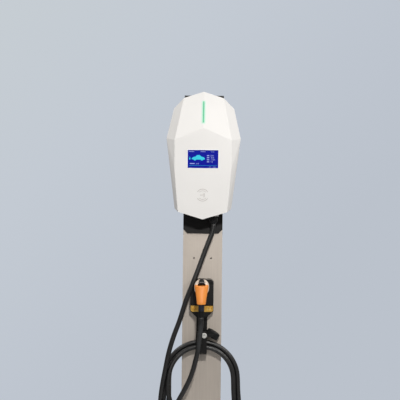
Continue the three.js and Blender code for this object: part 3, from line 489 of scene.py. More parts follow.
# A grained finish: name, colour, roughness, colour drift, scale of the grain and its strength.
FINISHES = {
    "galvanised_steel": brushed_post(),
    "rubber": grained("rubber", linear(13, 13, 13), 0.6, 0.25, 1200, 0.2, **DULL),
    "black_steel": grained("powder_coat", linear(14, 13, 13), 0.45, 0.2, 1500, 0.3, **DULL),
    "bright_steel": steel("bright_steel", linear(238, 238, 234), 0.34, 0.45),
    "case_plastic": grained("case_plastic", linear(15, 15, 16), 0.5, 0.2, 1400, 0.2, **DULL),
    "white_shell": shell_paint(),
    "light_guide": glowing("green_light", linear(112, 205, 160), 0.62),
    "display_glass": glowing("display_glass", linear(6, 22, 168), 0.6, 0.25),
    "circuit_board": green_board(),
    "grey_plastic": grained("grey_plastic", linear(146, 149, 152), 0.55),
    "holster_plastic": grained("holster_plastic", linear(12, 11, 11), 0.36, 0.25, 1300, 0.22),
    "zinc_yellow": zinc(),
    "pale_shell": grained("pale_shell", linear(246, 226, 208), 0.38, 0.03, 1400, 0.08),
    "orange_grip": grained("orange_grip", linear(246, 150, 60), 0.46, 0.04, 1500, 0.22),
    "copper": steel("contact_copper", linear(196, 152, 96), 0.3),
    "cable_sheath": sheath(),
}

BEZEL_WHITE = grained("bezel_white", linear(250, 250, 252), 0.4, 0.01, 1500, 0.03)
MARK_GREY = grained("mark_grey", linear(184, 178, 174), 0.6, 0.04, 1500, 0.05)
SCREEN_CYAN = glowing("screen_cyan", linear(64, 214, 240), 0.75, 0.2)
SCREEN_PALE = glowing("screen_pale", linear(176, 190, 244), 0.7, 0.2)
NUT_BLUE = grained("nut_blue", linear(24, 30, 46), 0.42, 0.2, 1300, 0.15)


# ---- charging cable ------------------------------------------------------------------

CABLE_R = 8 * MM

# The run from the gland to the left side of the coil, in millimetres.
CHARGER_RUN = [(36, -94.6, 1065.6), (35.4, -94.6, 1052), (32, -94.7, 1036), (24, -95, 1014),
               (13, -95.5, 986), (-1.5, -96, 945), (-25, -100.2, 880), (-51, -99, 813),
               (-73, -97, 742), (-94, -96, 684), (-108, -95, 634), (-118, -94, 582),
               (-127, -93.2, 532), (-133, -91, 486), (-135.2, -85, 440), (-135, -79, 405)]

# The run from the left side of the coil, round a hanging loop, up to the plug.
PLUG_RUN = [(-110, -92.7, 520), (-106, -92.9, 491), (-97, -93.5, 462), (-80, -94.5, 431),
            (-53, -95.5, 398), (-33, -96.5, 362), (-29, -98, 326), (-41, -100, 292),
            (-68, -102, 270), (-102, -104, 266), (-135, -106, 281), (-156, -108, 310),
            (-158, -110, 346), (-141, -112, 382), (-114, -113, 416), (-88, -113.5, 454),
            (-66, -113.5, 493), (-48, -113, 527), (-34, -112.7, 558), (-23.5, -112.5, 592),
            (-15, -112.7, 626), (-10, -114.4, 648), (-7.5, -120.4, 667), (-5.5, -131, 685),
            (-3.5, -146, 703), (-2, -157.5, 721), (-0.8, -164.3, 738), (0, -167.3, 752),
            (0, -167.7, 764)]

# Lanes of the three turns, in millimetres: radius of the top or bottom arc, and depth.
TOP_LANES = [(122.0, -68.0), (107.6, -59.9), (107.6, -76.1)]
LOW_LANES = [(134.0, -76.2), (126.0, -60.0), (117.5, -76.2)]
TOP_MIDDLE = 547
LOW_MIDDLE = 372
ARC_STEPS = 14
SIDE_STEPS = 5
LANE_SHARE = 0.65          # share of a side run over which the cable changes lane
FORWARD_FROM = 1.95        # radians into the last top arc at which the cable starts to come forward
FORWARD_OVER = 1.35        # radians over which it does
SPAN_POINTS = 12           # points worked out between two knots
PATH_STEP = 6 * MM
SMOOTH_PASSES = 3
CABLE_SIDES = 20


def ease(t):
    t = min(max(t, 0), 1)
    return t * t * (3 - 2 * t)


def arc(radius, middle_z, way, depth_at):
    """Half a circle: along the bottom (way -1) from the left, or over the top (way 1) from the right."""
    angles = [math.pi * i / ARC_STEPS for i in range(ARC_STEPS + 1)]
    return [(way * radius * math.cos(a), depth_at(a), middle_z + way * radius * math.sin(a)) for a in angles]


def side_run(way, start, end, start_z, end_z, wait=0.0, over=1.0):
    """Up the right (way 1) or down the left (way -1), from one lane to the next after a wait."""
    points = []
    for i in range(1, SIDE_STEPS):
        t = i / SIDE_STEPS
        lane = ease((t - wait) / over)
        points.append((way * (start[0] + (end[0] - start[0]) * lane),
                       start[1] + (end[1] - start[1]) * lane, start_z + (end_z - start_z) * t))
    return points


def coil_turns():
    """Points of the three turns, each along the bottom, up the right, over and down the left."""
    points = []
    for k, (low, top) in enumerate(zip(LOW_LANES, TOP_LANES)):
        points += arc(low[0], LOW_MIDDLE, -1, lambda angle: low[1])
        points += side_run(1, low, top, LOW_MIDDLE, TOP_MIDDLE)
        if k + 1 < len(LOW_LANES):
            points += arc(top[0], TOP_MIDDLE, 1, lambda angle: top[1])
            points += side_run(-1, top, LOW_LANES[k + 1], TOP_MIDDLE, LOW_MIDDLE,
                               0 if k == 0 else 1 - LANE_SHARE, LANE_SHARE)
    radius, back = TOP_LANES[-1]
    front = PLUG_RUN[0][1]
    points += arc(radius, TOP_MIDDLE, 1, lambda angle:
                  back + (front - back) * ease((angle - FORWARD_FROM) / FORWARD_OVER))
    return points


def part_way(a, b, start, end, t):
    """The point at t on the line from a, at start, to b, at end."""
    return a * ((end - t) / (end - start)) + b * ((t - start) / (end - start))


def curve_through(knots):
    """Points of a centripetal Catmull-Rom curve through the knots."""
    knots = [knots[0] * 2 - knots[1]] + knots + [knots[-1] * 2 - knots[-2]]
    points = []
    for i in range(1, len(knots) - 2):
        a, b, c, d = knots[i - 1:i + 3]
        t1 = (b - a).length ** 0.5
        t2 = t1 + (c - b).length ** 0.5
        t3 = t2 + (d - c).length ** 0.5
        for k in range(SPAN_POINTS):
            t = t1 + (t2 - t1) * k / SPAN_POINTS
            ab = part_way(a, b, 0, t1, t)
            bc = part_way(b, c, t1, t2, t)
            cd = part_way(c, d, t2, t3, t)
            points.append(part_way(part_way(ab, bc, 0, t2, t), part_way(bc, cd, t1, t3, t), t1, t2, t))
    return points + [knots[-2]]


def even_steps(points, step):
    """Points about one step apart along a line of points."""
    lengths = [0.0]
    for a, b in zip(points, points[1:]):
        lengths.append(lengths[-1] + (b - a).length)
    count = round(lengths[-1] / step)
    samples = []
    at = 0
    for i in range(count + 1):
        want = lengths[-1] * i / count
        while at < len(points) - 2 and lengths[at + 1] < want:
            at += 1
        share = (want - lengths[at]) / (lengths[at + 1] - lengths[at])
        samples.append(points[at].lerp(points[at + 1], min(max(share, 0), 1)))
    return samples


def add_cable():
    """The charging cable, as one tube from the gland over the hook to the plug."""
    knots = [Vector(knot) * MM for knot in CHARGER_RUN + coil_turns() + PLUG_RUN]
    path = even_steps(curve_through(knots), PATH_STEP)
    for _ in range(SMOOTH_PASSES):
        inner = [(a + b * 2 + c) / 4 for a, b, c in zip(path, path[1:], path[2:])]
        path = [path[0]] + inner + [path[-1]]
    rings = []
    side = X.copy()
    for i, point in enumerate(path):
        along = (path[min(i + 1, len(path) - 1)] - path[max(i - 1, 0)]).normalized()
        side = (side - along * side.dot(along)).normalized()
        rings.append(oval(point, side, along.cross(side), CABLE_R, CABLE_R, 2, CABLE_SIDES))
    cable = loft("charging_cable", rings)
    cable.data.materials.append(FINISHES["cable_sheath"])
    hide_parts("cable_from_charger", "cable_coil", "cable_to_gun")
    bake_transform(cable)
    return cable, path


# ---- light, floor and background -----------------------------------------------------

FLOOR_R = 1.5
FLOOR_SIDES = 64


def add_stage():
    """A plain pale round floor."""
    angles = [2 * math.pi * i / FLOOR_SIDES for i in range(FLOOR_SIDES)]
    corners = [(FLOOR_R * math.cos(angle), FLOOR_R * math.sin(angle), 0) for angle in angles]
    floor = mesh_object("floor", corners, [tuple(range(FLOOR_SIDES))], smooth=False)
    made = Finish("pale_floor", 0.7)
    color = linear(208, 211, 215)
    made.color(made.ramp(made.noise(3, 2), [(0.3, shade(color, 0.97)), (0.7, shade(color, 1.02))]))
    floor.data.materials.append(made.material)


BACKDROP = ((0.0, linear(187, 194, 204)), (0.27, linear(190, 197, 207)),
            (0.64, linear(195, 202, 211)), (1.0, linear(198, 205, 211)))
FILL_LOW = 0.04            # fill light from the floor's side
FILL_HIGH = 0.46           # fill light from above
FILL_SIDE = 0.10           # how much brighter the fill is from the right than from the left
FILL_RISE = (-0.7, 0.9)    # heights on the sky between which the fill grows
FILL_COLOR = (1.0, 0.975, 0.95, 1)
BACKDROP_SPAN = (-0.15, 0.4)   # height less sideways, from the backdrop's first stop to its last


def add_world():
    """Even fill light, brighter from above and the right; the camera sees a plain backdrop."""
    world = bpy.data.worlds.new("World")
    bpy.context.scene.world = world
    world.use_nodes = True
    nodes, links = world.node_tree.nodes, world.node_tree.links
    nodes.clear()

    def span(source, reach, levels):
        made = nodes.new("ShaderNodeMapRange")
        for socket, value in zip(("From Min", "From Max", "To Min", "To Max"), reach + levels):
            made.inputs[socket].default_value = value
        links.new(source, made.inputs["Value"])
        return made.outputs["Result"]

    def combined(operation, first, second):
        made = nodes.new("ShaderNodeMath")
        made.operation = operation
        links.new(first, made.inputs[0])
        links.new(second, made.inputs[1])
        return made.outputs["Value"]

    split = nodes.new("ShaderNodeSeparateXYZ")
    links.new(nodes.new("ShaderNodeTexCoord").outputs["Generated"], split.inputs["Vector"])
    rise = span(split.outputs["Z"], FILL_RISE, (FILL_LOW, FILL_HIGH))
    lean = span(split.outputs["X"], (-1, 1), (-FILL_SIDE / 2, FILL_SIDE / 2))
    light = nodes.new("ShaderNodeBackground")
    light.inputs["Color"].default_value = FILL_COLOR
    links.new(combined("ADD", rise, lean), light.inputs["Strength"])

    slant = combined("SUBTRACT", split.outputs["Z"], split.outputs["X"])
    ramp = nodes.new("ShaderNodeValToRGB")
    set_stops(ramp, BACKDROP)
    links.new(span(slant, BACKDROP_SPAN, (0, 1)), ramp.inputs["Fac"])
    seen = nodes.new("ShaderNodeBackground")
    links.new(ramp.outputs["Color"], seen.inputs["Color"])

    rays = nodes.new("ShaderNodeLightPath")
    shown = combined("MAXIMUM", rays.outputs["Is Camera Ray"], rays.outputs["Is Transmission Ray"])
    mix = nodes.new("ShaderNodeMixShader")
    links.new(shown, mix.inputs["Fac"])
    links.new(light.outputs["Background"], mix.inputs[1])
    links.new(seen.outputs["Background"], mix.inputs[2])
    out = nodes.new("ShaderNodeOutputWorld")
    links.new(mix.outputs["Shader"], out.inputs["Surface"])


LAMP_PLACE = (0.17, -1.8, 1.64)
LAMP_AIM = (0, 0, 1.0)
LAMP_SIZE = 0.1
LAMP_POWER = 15.0
LAMP_COLOR = (1.0, 0.98, 0.955)
SIDE_LAMPS = (("Left", (-1.15, -0.35, 2.05), 7.5), ("Right", (1.15, -0.45, 1.85), 8.0))
SIDE_LAMP_AIM = (0, -0.1, 1.3)
SIDE_LAMP_SIZE = 0.7
SIDE_LAMP_COLOR = (1.0, 0.985, 0.97)


def area_lamp(name, place, target, size, power, color):
    """A round lamp that looks at the target."""
    lamp = bpy.data.lights.new(name, "AREA")
    lamp.shape = "DISK"
    lamp.size = size
    lamp.energy = power
    lamp.color = color
    holder = bpy.data.objects.new(name, lamp)
    bpy.context.scene.collection.objects.link(holder)
    holder.location = place
    holder.rotation_mode = "QUATERNION"
    holder.rotation_quaternion = (Vector(target) - Vector(place)).to_track_quat("-Z", "Y")


def add_lights():
    """One small lamp in front, which throws the shadows, and a soft one above each side."""
    area_lamp("Lamp", LAMP_PLACE, LAMP_AIM, LAMP_SIZE, LAMP_POWER, LAMP_COLOR)
    for name, place, power in SIDE_LAMPS:
        area_lamp(name, place, SIDE_LAMP_AIM, SIDE_LAMP_SIZE, power, SIDE_LAMP_COLOR)


# ---- charger -------------------------------------------------------------------------

def finish_nodes():
    """Every CAD node takes the finish of its slot."""
    for name, node in frame["nodes"].items():
        node.data.materials.clear()
        node.data.materials.append(FINISHES[SLOTS[name]])
        for face in node.data.polygons:
            face.use_smooth = False


# Nodes with rounded edges: radius in millimetres, steps, and the angle in degrees that is an edge.
ROUNDED = {
    "front_shell": (1.8, 4, 6), "rear_case": (1.0, 3, 20), "mounting_plate": (0.8, 2, 20),
    "post_column": (2.2, 4, 30), "post_top_cap": (1.5, 3, 20), "base_plate": (0.8, 2, 30),
    "holster_body": (2.4, 4, 32), "cable_hook": (2.6, 4, 20), "holster_strap": (0.6, 2, 32),
    "display_window": (0.4, 2, 20),
    "outlet_gland_body": (0.6, 2, 25), "outlet_gland_locknut": (0.4, 2, 25),
    "cap_strap_arm": (1.2, 3, 20), "cap_strap_anchor": (0.5, 2, 32), "supply_grommet": (0.6, 2, 30),
    "main_board": (0.2, 1, 20), "contactor": (1.0, 2, 20), "power_module": (1.0, 2, 20),
    "terminal_block": (0.6, 2, 30), "display_module": (0.6, 2, 20), "case_gasket": (0.4, 2, 30),
}


def round_edges():
    for node, (width, segments, angle) in ROUNDED.items():
        piece = refined(node, width * MM, segments, angle)
        put(piece, frame["nodes"][node]["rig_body"], FINISHES[SLOTS[node]])


# ---- front of the charger ------------------------------------------------------------

def plates(name, outlines, front, thickness, material):
    """Thin printed or lit shapes, each an outline of x and z, lying on a face that looks along -Y."""
    corners, faces = [], []
    for outline in outlines:
        first, count = len(corners), len(outline)
        corners += [(x, front, z) for x, z in outline]
        corners += [(x, front + thickness, z) for x, z in outline]
        faces.append([first + i for i in range(count)])
        faces.append([first + count + i for i in range(count)][::-1])
        for i in range(count):
            j = (i + 1) % count
            faces.append([first + i, first + count + i, first + count + j, first + j])
    piece = mesh_object(name, corners, faces, smooth=False)
    return put(piece, "root", material)


def bar(x, z, width, height):
    return [(x, z), (x + width, z), (x + width, z + height), (x, z + height)]


def arc_band(x, z, radius, width, start, end, steps=24):
    """A curved strip between two angles in degrees."""
    angles = [math.radians(start + (end - start) * i / steps) for i in range(steps + 1)]
    outer, inner = radius + width / 2, radius - width / 2
    outside = [(x + outer * math.cos(a), z + outer * math.sin(a)) for a in angles]
    inside = [(x + inner * math.cos(a), z + inner * math.sin(a)) for a in angles]
    return outside + inside[::-1]


# Lit strokes of a seven-stroke figure: top, upper left, upper right, middle, lower left,
# lower right, foot.
FIGURES = {"0": "1110111", "1": "0010010", "2": "1011101", "3": "1011011", "4": "0111010",
           "5": "1101011", "6": "1101111", "7": "1010010", "8": "1111111", "9": "1111011"}


def figures(text, x, z, height):
    """Plain numbers made of strokes."""
    width, stroke = height * 0.55, height * 0.16
    half = height / 2
    strokes = []
    for sign in text:
        if sign == ".":
            strokes.append(bar(x, z, stroke, stroke))
            x += 2 * stroke
            continue
        places = [bar(x, z + height - stroke, width, stroke), bar(x, z + half, stroke, half),
                  bar(x + width - stroke, z + half, stroke, half),
                  bar(x, z + half - stroke / 2, width, stroke), bar(x, z, stroke, half),
                  bar(x + width - stroke, z, stroke, half), bar(x, z, width, stroke)]
        strokes += [place for place, lit in zip(places, FIGURES[sign]) if lit == "1"]
        x += width + 1.6 * stroke
    return strokes


def car_outline(x, z, length):
    """Side view of a plain car body, as rises over its length."""
    shape = [(0.00, 0.10), (0.02, 0.20), (0.14, 0.27), (0.27, 0.29), (0.40, 0.41), (0.60, 0.42),
             (0.74, 0.30), (0.92, 0.25), (0.99, 0.18), (1.00, 0.08), (0.88, 0.07), (0.85, 0.02),
             (0.78, 0.00), (0.71, 0.02), (0.68, 0.07), (0.34, 0.07), (0.31, 0.02), (0.24, 0.00),
             (0.17, 0.02), (0.14, 0.07)]
    return [(x + u * length, z + v * length) for u, v in shape]


SCREEN_LIFT = 0.15 * MM


def display_picture():
    """A car sign, bars and plain numbers, placed by shares of the lit screen and sized in metres."""
    low, high = lo("display_window"), hi("display_window")
    wide, tall = high.x - low.x, high.z - low.z
    front = low.y - SCREEN_LIFT

    def at(u, v):
        return low.x + u * wide, low.z + v * tall

    car_x, car_z = at(0.13, 0.42)
    plug_x, plug_z = at(0.045, 0.47)
    cyan = [car_outline(car_x, car_z, 0.43 * wide),
            bar(plug_x, plug_z, 0.004, 0.006), bar(plug_x + 0.0008, plug_z + 0.0068, 0.0008, 0.0022),
            bar(plug_x + 0.0026, plug_z + 0.0068, 0.0008, 0.0022),
            bar(*at(0.04, 0.135), 0.92 * wide, 0.0005)]
    plates("screen_car", cyan, front, SCREEN_LIFT / 2, SCREEN_CYAN)

    pale = []
    for u, width in ((0.03, 0.18), (0.42, 0.16)):
        pale.append(bar(*at(u, 0.905), width * wide, 0.0013))
    pale += figures("12.45", *at(0.76, 0.89), 0.0030)
    pale.append(bar(*at(0.07, 0.225), 0.16 * wide, 0.0026))
    pale += figures("0.36", *at(0.28, 0.215), 0.0034)
    rows = (("230", 0.66), ("16.0", 0.545), ("11.04", 0.43), ("7.2", 0.315))
    for text, v in rows:
        pale.append(bar(*at(0.63, v + 0.012), 0.075 * wide, 0.0028))
        pale += figures(text, *at(0.75, v), 0.0042)
    pale += figures("25", *at(0.71, 0.035), 0.0030)
    pale.append(bar(*at(0.83, 0.045), 0.1 * wide, 0.0013))
    plates("screen_numbers", pale, front, SCREEN_LIFT / 2, SCREEN_PALE)


def display_bezel():
    """Thin bright frame around the screen."""
    low, high = lo("display_window"), hi("display_window")
    face = lo("front_shell").y
    # reach past the screen and depth behind the shell's face, in millimetres
    profile = [(0.4, 0.6), (0.4, -0.5), (1.8, -0.7), (2.6, 0.3)]
    rings = []
    for reach, depth in profile:
        left, right = low.x - reach * MM, high.x + reach * MM
        foot, top = low.z - reach * MM, high.z + reach * MM
        y = face + depth * MM
        rings.append([Vector((left, y, foot)), Vector((right, y, foot)),
                      Vector((right, y, top)), Vector((left, y, top))])
    bezel = hoop("display_bezel", rings)
    soften(bezel, 0.15 * MM, 2, 20)
    put(bezel, "root", BEZEL_WHITE)


READER_R = 19.5 * MM


def reader_mark():
    """Printed arcs that show where a card is held, over the reader board; widths in millimetres."""
    centre = middle("rfid_board")
    face = lo("front_shell").y
    x, z = centre.x, centre.z
    bands = []
    for radius, width, spread in ((READER_R, 1.5, 58), (READER_R * 0.72, 1.2, 50)):
        bands.append(arc_band(x, z, radius, width * MM, 90 - spread, 90 + spread))
        bands.append(arc_band(x, z, radius, width * MM, 270 - spread, 270 + spread))
    for radius in (0.13, 0.30, 0.46):
        bands.append(arc_band(x - 2 * MM, z, READER_R * radius, 1.1 * MM, -52, 52, 12))
    bands.append(arc_band(x - 5 * MM, z, 1.1 * MM, 1.4 * MM, 0, 359, 16))
    plates("reader_mark", bands, face - 0.08 * MM, 0.2 * MM, MARK_GREY)


# ---- fasteners -----------------------------------------------------------------------

HEAD_SIDES = 36

# Screws seen from the front, in millimetres: radius and height of the head, reach of the socket.
HOOK_BOLT = (8.7, 5, 4.0)
STRAP_SCREW = (5.2, 2.6, 2.0)
HOLSTER_SCREW = (4.6, 3, 1.9)
HOOK_SCREW = (5, 3, 2.1)


def socket_head(name, node, radius, height, hollow, slot):
    """A round head with a chamfered rim and a hexagon socket, from the node's front end back."""
    place = middle(node)
    start = Vector((place.x, lo(node).y + height, place.z))
    rim = height * 0.18

    def circle(along, reach):
        return oval(start - Y * along, X, Z, reach, reach, 2, HEAD_SIDES)

    def hexagon(reach, sunk):
        points = []
        for i in range(HEAD_SIDES):
            angle = 2 * math.pi * i / HEAD_SIDES
            corner = math.cos(math.pi / 6) / math.cos((angle % (math.pi / 3)) - math.pi / 6)
            points.append(start - Y * (height - sunk) + X * (reach * corner * math.cos(angle))
                          + Z * (reach * corner * math.sin(angle)))
        return points

    head = loft(name, [circle(0, radius), circle(height - rim, radius), circle(height, radius - rim),
                       hexagon(hollow * 1.12, 0), hexagon(hollow, height * 0.08),
                       hexagon(hollow, height * 0.6)])
    soften(head, height * 0.03, 2, 25)
    return put(head, frame["nodes"][node]["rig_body"], FINISHES[slot])


def bolt_with_head(node, sizes, slot):
    """Stands for a CAD screw: its head with a socket, and the plain shank behind it."""
    radius, height, hollow = (size * MM for size in sizes)
    head = socket_head(node + "_head", node, radius, height, hollow, slot)
    place = middle(node)
    length = hi(node).y - lo(node).y - height
    shank_r = radius * 0.5
    profile = [(0, shank_r), (length - shank_r * 0.3, shank_r), (length, shank_r * 0.7)]
    shank = turned(node + "_shank", profile, (place.x, lo(node).y + height, place.z), Y, 20)
    put(shank, frame["nodes"][node]["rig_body"], FINISHES[slot])
    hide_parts(node)


def fasteners():
    bolt_with_head("hook_bolt_right", HOOK_BOLT, "bright_steel")
    # The left bolt is a shaded copy of its bright twin: its black finish is painted shade for the dark spot
    # beside the stem and behind the gun cable.
    bolt_with_head("hook_bolt_left", HOOK_BOLT, "black_steel")
    for side in ("left", "right"):
        bolt_with_head(f"strap_screw_{side}", STRAP_SCREW, "zinc_yellow")
        bolt_with_head(f"holster_screw_{side}", HOLSTER_SCREW, "black_steel")
    for i in (1, 2):
        bolt_with_head(f"hook_screw_{i}", HOOK_SCREW, "black_steel")


# ---- charging gun --------------------------------------------------------------------

PIVOT_Z = middle("lever_pin").z
CUT_TOP = PIVOT_Z + 21 * MM          # past the top of the head
CUT_ROUND = 1.8 * MM
SLOT_HALF = 8.8 * MM                 # half width of the slot for the lever
SLOT_FOOT = PIVOT_Z - 6.8 * MM
ROOM_HALF = 12.8 * MM                # half width of the room for the lever's pad
ROOM_FOOT = PIVOT_Z - 15.4 * MM
ROOM_DEPTH = 9.9 * MM
PAD_BACK = 7.4 * MM                  # back of the pad, behind the front of the head
NUT_R = 10 * MM


def gun_head():
    """Rounded pale cover of the gun, with the slot that the lever works in."""
    low, high = lo("gun_head"), hi("gun_head")
    # share of the length from the back, then shares of the full width and height
    shape = [(0.0, 0.90, 0.88), (0.03, 0.945, 0.93), (0.12, 0.99, 0.985), (0.3, 1.0, 1.0),
             (0.5, 1.0, 1.0), (0.66, 0.985, 0.98), (0.78, 0.955, 0.945), (0.87, 0.90, 0.885),
             (0.94, 0.82, 0.80), (0.98, 0.73, 0.71), (1.0, 0.60, 0.58)]
    half_w, half_h = (high.x - low.x) / 2, (high.z - low.z) / 2
    centre_z = (high.z + low.z) / 2
    rings = [oval((0, high.y + (low.y - high.y) * t, centre_z), X, Z, half_w * a, half_h * b, 2.25, 48)
             for t, a, b in shape]
    head = loft("gun_head_cover", rings)
    subdivide(head, 1)
    slot = box_piece("slot_cutter", (-SLOT_HALF, low.y - 10 * MM, SLOT_FOOT),
                     (SLOT_HALF, high.y - 5 * MM, CUT_TOP))
    soften(slot, CUT_ROUND, 3)
    carve(head, slot)
    carve(head, pad_room())
    soften(head, 0.5 * MM, 2, 35)
    put(head, "gun", FINISHES["pale_shell"])
    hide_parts("gun_head")
    return head


def pad_room():
    """The space that the lever's pad moves in."""
    front = lo("gun_head").y
    room = box_piece("pad_room", (-ROOM_HALF, front - 30 * MM, ROOM_FOOT),
                     (ROOM_HALF, front + ROOM_DEPTH, CUT_TOP))
    return soften(room, CUT_ROUND, 3)


def carve(piece, cutter):
    """Cuts one mesh out of another and keeps the result in the mesh."""
    cut = piece.modifiers.new("Cut", "BOOLEAN")
    cut.object = cutter
    cut.operation = "DIFFERENCE"
    cut.solver = "EXACT"
    settle(piece)
    bpy.data.objects.remove(cutter, do_unlink=True)


def settle(piece):
    """Writes the modifiers into the mesh."""
    graph = bpy.context.evaluated_depsgraph_get()
    graph.update()
    mesh = bpy.data.meshes.new_from_object(piece.evaluated_get(graph))
    piece.modifiers.clear()
    old = piece.data
    piece.data = mesh
    bpy.data.meshes.remove(old)
    for face in mesh.polygons:
        face.use_smooth = True


def gun_grip():
    """Soft orange handle that wraps the front of the head."""
    foot = lo("gun_grip").z
    tail_y = middle("gun_gland_nut").y
    # height over the foot, offset behind the tail's axis, half width, half depth, in millimetres
    shape = [(0.0, 0, 12.6, 13.8), (0.8, 0, 14.0, 15.3), (4, 0.6, 14.8, 16.0), (10, 2.2, 15.4, 16.6),
             (18, 4.6, 16.3, 17.2), (27, 8, 17.6, 18.0), (36, 11.6, 19.2, 18.8), (44, 14.6, 20.7, 19.2),
             (51, 16.2, 22.2, 19.0), (56.5, 16.6, 23.2, 18.2), (60.5, 16.6, 22.8, 16.6),
             (62.6, 16.6, 20.5, 14.4), (63.2, 16.6, 17.5, 12.0)]
    rings = [oval((0, tail_y + back * MM, foot + up * MM), X, Y, a * MM, b * MM, 2.5, 40)
             for up, back, a, b in shape]
    grip = loft("gun_grip_cover", rings)
    subdivide(grip, 1)
    carve(grip, pad_room())
    soften(grip, 0.4 * MM, 2, 35)
    put(grip, "gun", FINISHES["orange_grip"])
    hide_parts("gun_grip")
    return grip


def release_lever():
    """Thumb lever: an arm in the slot and a ribbed pad at its end."""
    plastic = FINISHES["case_plastic"]
    low, high = lo("release_lever"), hi("release_lever")
    half = (high.x - low.x) / 2
    pivot_y = middle("lever_pin").y
    # place along the gun, then lower and upper edge from the pivot, in millimetres
    stations = [(low.y + 4 * MM, -2.2, 4.5), (pivot_y - 12 * MM, -2.8, 5.2), (pivot_y, -3.2, 5.5),
                (pivot_y + 8 * MM, -2.8, 5.0), (high.y, -2.0, 2.5)]
    arm_rings = [oval((0, y, PIVOT_Z + (a + b) / 2 * MM), X, Z, half, (b - a) / 2 * MM, 5, 28)
                 for y, a, b in stations]
    arm = loft("lever_arm", arm_rings)
    soften(arm, 0.4 * MM, 2, 30)
    put(arm, "lever", plastic)
    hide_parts("release_lever")

    front = lo("gun_head").y
    # height from the pivot, half width, and front edge behind the front of the head, in millimetres
    levels = [(-11.8, 10.4, 3.0), (-11.0, 11.4, 1.4), (-9.2, 11.4, 0.9), (-7.8, 9.8, 1.0),
              (-4.5, 8.9, 0.6), (-0.5, 8.4, 0.9), (2.5, 7.2, 2.0), (4.2, 5.2, 3.6)]
    pad_rings = [oval((0, front + (edge * MM + PAD_BACK) / 2, PIVOT_Z + up * MM), X, Y,
                      half_w * MM, (PAD_BACK - edge * MM) / 2, 4, 32) for up, half_w, edge in levels]
    put(loft("lever_pad", pad_rings), "lever", plastic)

    rib_rings = [oval((x * MM, front + 1 * MM, PIVOT_Z - 4.2 * MM), Y, Z, 0.5 * MM, 0.75 * MM, 2, 12)
                 for x in (-7.5, -7.2, 7.2, 7.5)]
    put(loft("lever_rib", rib_rings), "lever", FINISHES["grey_plastic"])


def gland_nut():
    """Fluted nut below the handle."""
    low, high = lo("gun_gland_nut"), hi("gun_gland_nut")
    centre = middle("gun_gland_nut")
    sides, flutes, flute_depth = 60, 12, 0.045
    # share of the height, share of the radius, and how deep the flutes are there
    shape = [(0, 0.88, 0), (0.05, 0.94, 0), (0.12, 0.965, 0.5), (0.18, 0.97, 1), (0.7, 0.97, 1),
             (0.76, 0.97, 0.5), (0.8, 0.99, 0), (0.96, 0.99, 0), (1, 0.93, 0)]
    rings = []
    for t, scale, depth in shape:
        ring = []
        for i in range(sides):
            angle = 2 * math.pi * i / sides
            wave = 0.5 + 0.5 * math.cos(flutes * angle)
            r = NUT_R * scale * (1 - flute_depth * depth * wave)
            ring.append(Vector((r * math.cos(angle), centre.y + r * math.sin(angle),
                                low.z + (high.z - low.z) * t)))
        rings.append(ring)
    nut = put(loft("gun_gland_nut_ribbed", rings), "gun", NUT_BLUE)
    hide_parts("gun_gland_nut")
    return nut


def bend_relief():
    """Ribbed rubber sleeve between the nut and the cable."""
    low, high = lo("strain_relief"), hi("strain_relief")
    tall = high.z - low.z
    # share of the height and radius in millimetres
    profile = [(0, 8.7), (0.02, 8.95)]
    for i in range(5):
        start, r = 0.06 + i * 0.175, 9.0 + 0.11 * i
        profile += [(start, r), (start + 0.095, r + 0.08),
                    (start + 0.11, r - 0.75), (start + 0.16, r - 0.72)]
    profile += [(0.94, 9.6), (0.985, 9.6), (1.0, 9.2)]
    relief = turned("strain_relief_ribbed", [(t * tall, r * MM) for t, r in profile],
                    (0, middle("gun_gland_nut").y, low.z), Z, 36)
    soften(relief, 0.15 * MM, 2, 30)
    put(relief, "gun", FINISHES["rubber"])
    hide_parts("strain_relief")
    return relief


# ---- dust cap ------------------------------------------------------------------------

DUST_TILT = 32             # degrees
DUST_R = 23.0              # in millimetres, like the two below
DUST_HALF = 11.0           # half the cap's height
DUST_WALL = 2.2


def dust_cap_shape():
    """Place along the axis, radius and share of the ribs, round the outside and back inside."""
    half, outer, wall = DUST_HALF, DUST_R, DUST_WALL
    outside = [(-half, outer - 1.2, 0), (-half + 0.7, outer - 0.1, 0), (-half + 3.2, outer, 0),
               (-half + 4.0, outer - 0.7, 0), (-half + 4.8, outer - 0.8, 1),
               (half - 4.4, outer - 0.9, 1), (half - 3.4, outer - 0.9, 0.4),
               (half - 1.8, outer - 1.5, 0), (half - 0.5, outer - 3.2, 0), (half, outer - 5.0, 0),
               (half - 0.1, outer - 6.2, 0), (half - 1.0, outer - 7.2, 0), (half - 1.1, 4.0, 0),
               (half - 0.4, 3.2, 0), (half - 0.3, 0.6, 0)]
    inside = [(half - 2 * wall, 0.5, 0), (half - 2 * wall, outer - wall - 3, 0),
              (half - 2 * wall - 2, outer - wall - 1.6, 0), (-half + 4, outer - wall - 0.8, 0),
              (-half + 0.8, outer - wall - 0.2, 0), (-half, outer - wall + 0.3, 0)]
    return outside, inside


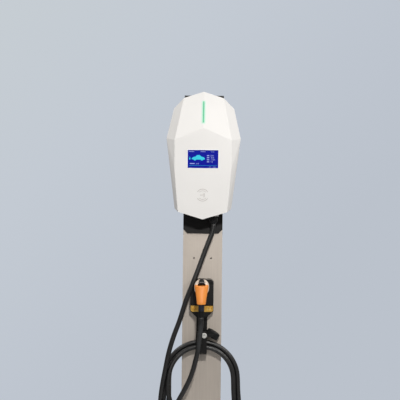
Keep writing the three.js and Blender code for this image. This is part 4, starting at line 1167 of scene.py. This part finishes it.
def dust_cap():
    """Rubber cap with a rolled mouth, grip ribs round its side and a dished end."""
    place = middle("dust_cap")
    tilt = math.radians(DUST_TILT)
    out = Vector((math.sin(tilt), 0, math.cos(tilt)))
    side = out.cross(Y).normalized()
    sides, ribs, rib_height = 96, 24, 0.55
    outside, inside = dust_cap_shape()
    rings = []
    for along, radius, ribbed in outside + inside:
        ring = []
        for i in range(sides):
            angle = 2 * math.pi * i / sides
            r = (radius + rib_height * ribbed * math.cos(ribs * angle)) * MM
            ring.append(place + out * (along * MM) + (side * math.cos(angle) + Y * math.sin(angle)) * r)
        rings.append(ring)
    end, floor = len(outside) - 1, len(outside)      # the innermost rings of the end and the hollow
    faces = []
    for r in range(len(rings)):
        if r != end:
            faces += between_rings(sides, r, (r + 1) % len(rings))
    faces.append([end * sides + i for i in range(sides)])
    faces.append([floor * sides + i for i in range(sides)][::-1])
    cap = mesh_object("dust_cap_ribbed", ring_corners(rings), faces)
    soften(cap, 0.12 * MM, 1, 40)
    put(cap, "cap", FINISHES["rubber"])
    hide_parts("dust_cap")


# ---- post foot -----------------------------------------------------------------------

WELD_LEG = 4.2 * MM
WELD_SUNK = 0.8 * MM       # how far the seam reaches into the post
WELD_STEP = 1.5 * MM
CORNER_R = 4 * MM


def weld_path():
    """The seam's line round the foot of the post, in short steps."""
    low, high = lo("post_column"), hi("post_column")
    top = hi("base_plate").z
    reach_x, reach_y = (high.x - low.x) / 2 - CORNER_R, (high.y - low.y) / 2 - CORNER_R
    path = []
    for way_x, way_y, start in ((1, 1, 0), (-1, 1, 90), (-1, -1, 180), (1, -1, 270)):
        for i in range(7):
            angle = math.radians(start + 15 * i)
            path.append(Vector((way_x * reach_x + math.cos(angle) * CORNER_R,
                                way_y * reach_y + math.sin(angle) * CORNER_R, top)))
    dense = []
    for a, b in zip(path, path[1:] + path[:1]):
        steps = max(1, round((b - a).length / WELD_STEP))
        dense += [a.lerp(b, i / steps) for i in range(steps)]
    return dense


def foot_weld():
    """The welded seam between the post and its base plate, with its ripples."""
    path = weld_path()
    rings = []
    for k, point in enumerate(path):
        ahead = (path[(k + 1) % len(path)] - path[k - 1]).normalized()
        out = ahead.cross(Z)
        leg = WELD_LEG * (1 + 0.12 * math.sin(k * 1.9) + 0.06 * math.sin(k * 0.73))
        rings.append([point - out * WELD_SUNK, point + out * leg,
                      point + out * (leg * 0.72) + Z * (leg * 0.45),
                      point + out * (leg * 0.3) + Z * (leg * 0.8),
                      point - out * WELD_SUNK + Z * leg])
    put(hoop("foot_weld", rings), "root", FINISHES["galvanised_steel"])


# ---- put together --------------------------------------------------------------------

add_camera()
cable, cable_path = add_cable()
add_stage()
add_world()
add_lights()
finish_nodes()
round_edges()
display_bezel()
display_picture()
reader_mark()
fasteners()
head = gun_head()
grip = gun_grip()
release_lever()
nut = gland_nut()
relief = bend_relief()
dust_cap()
foot_weld()
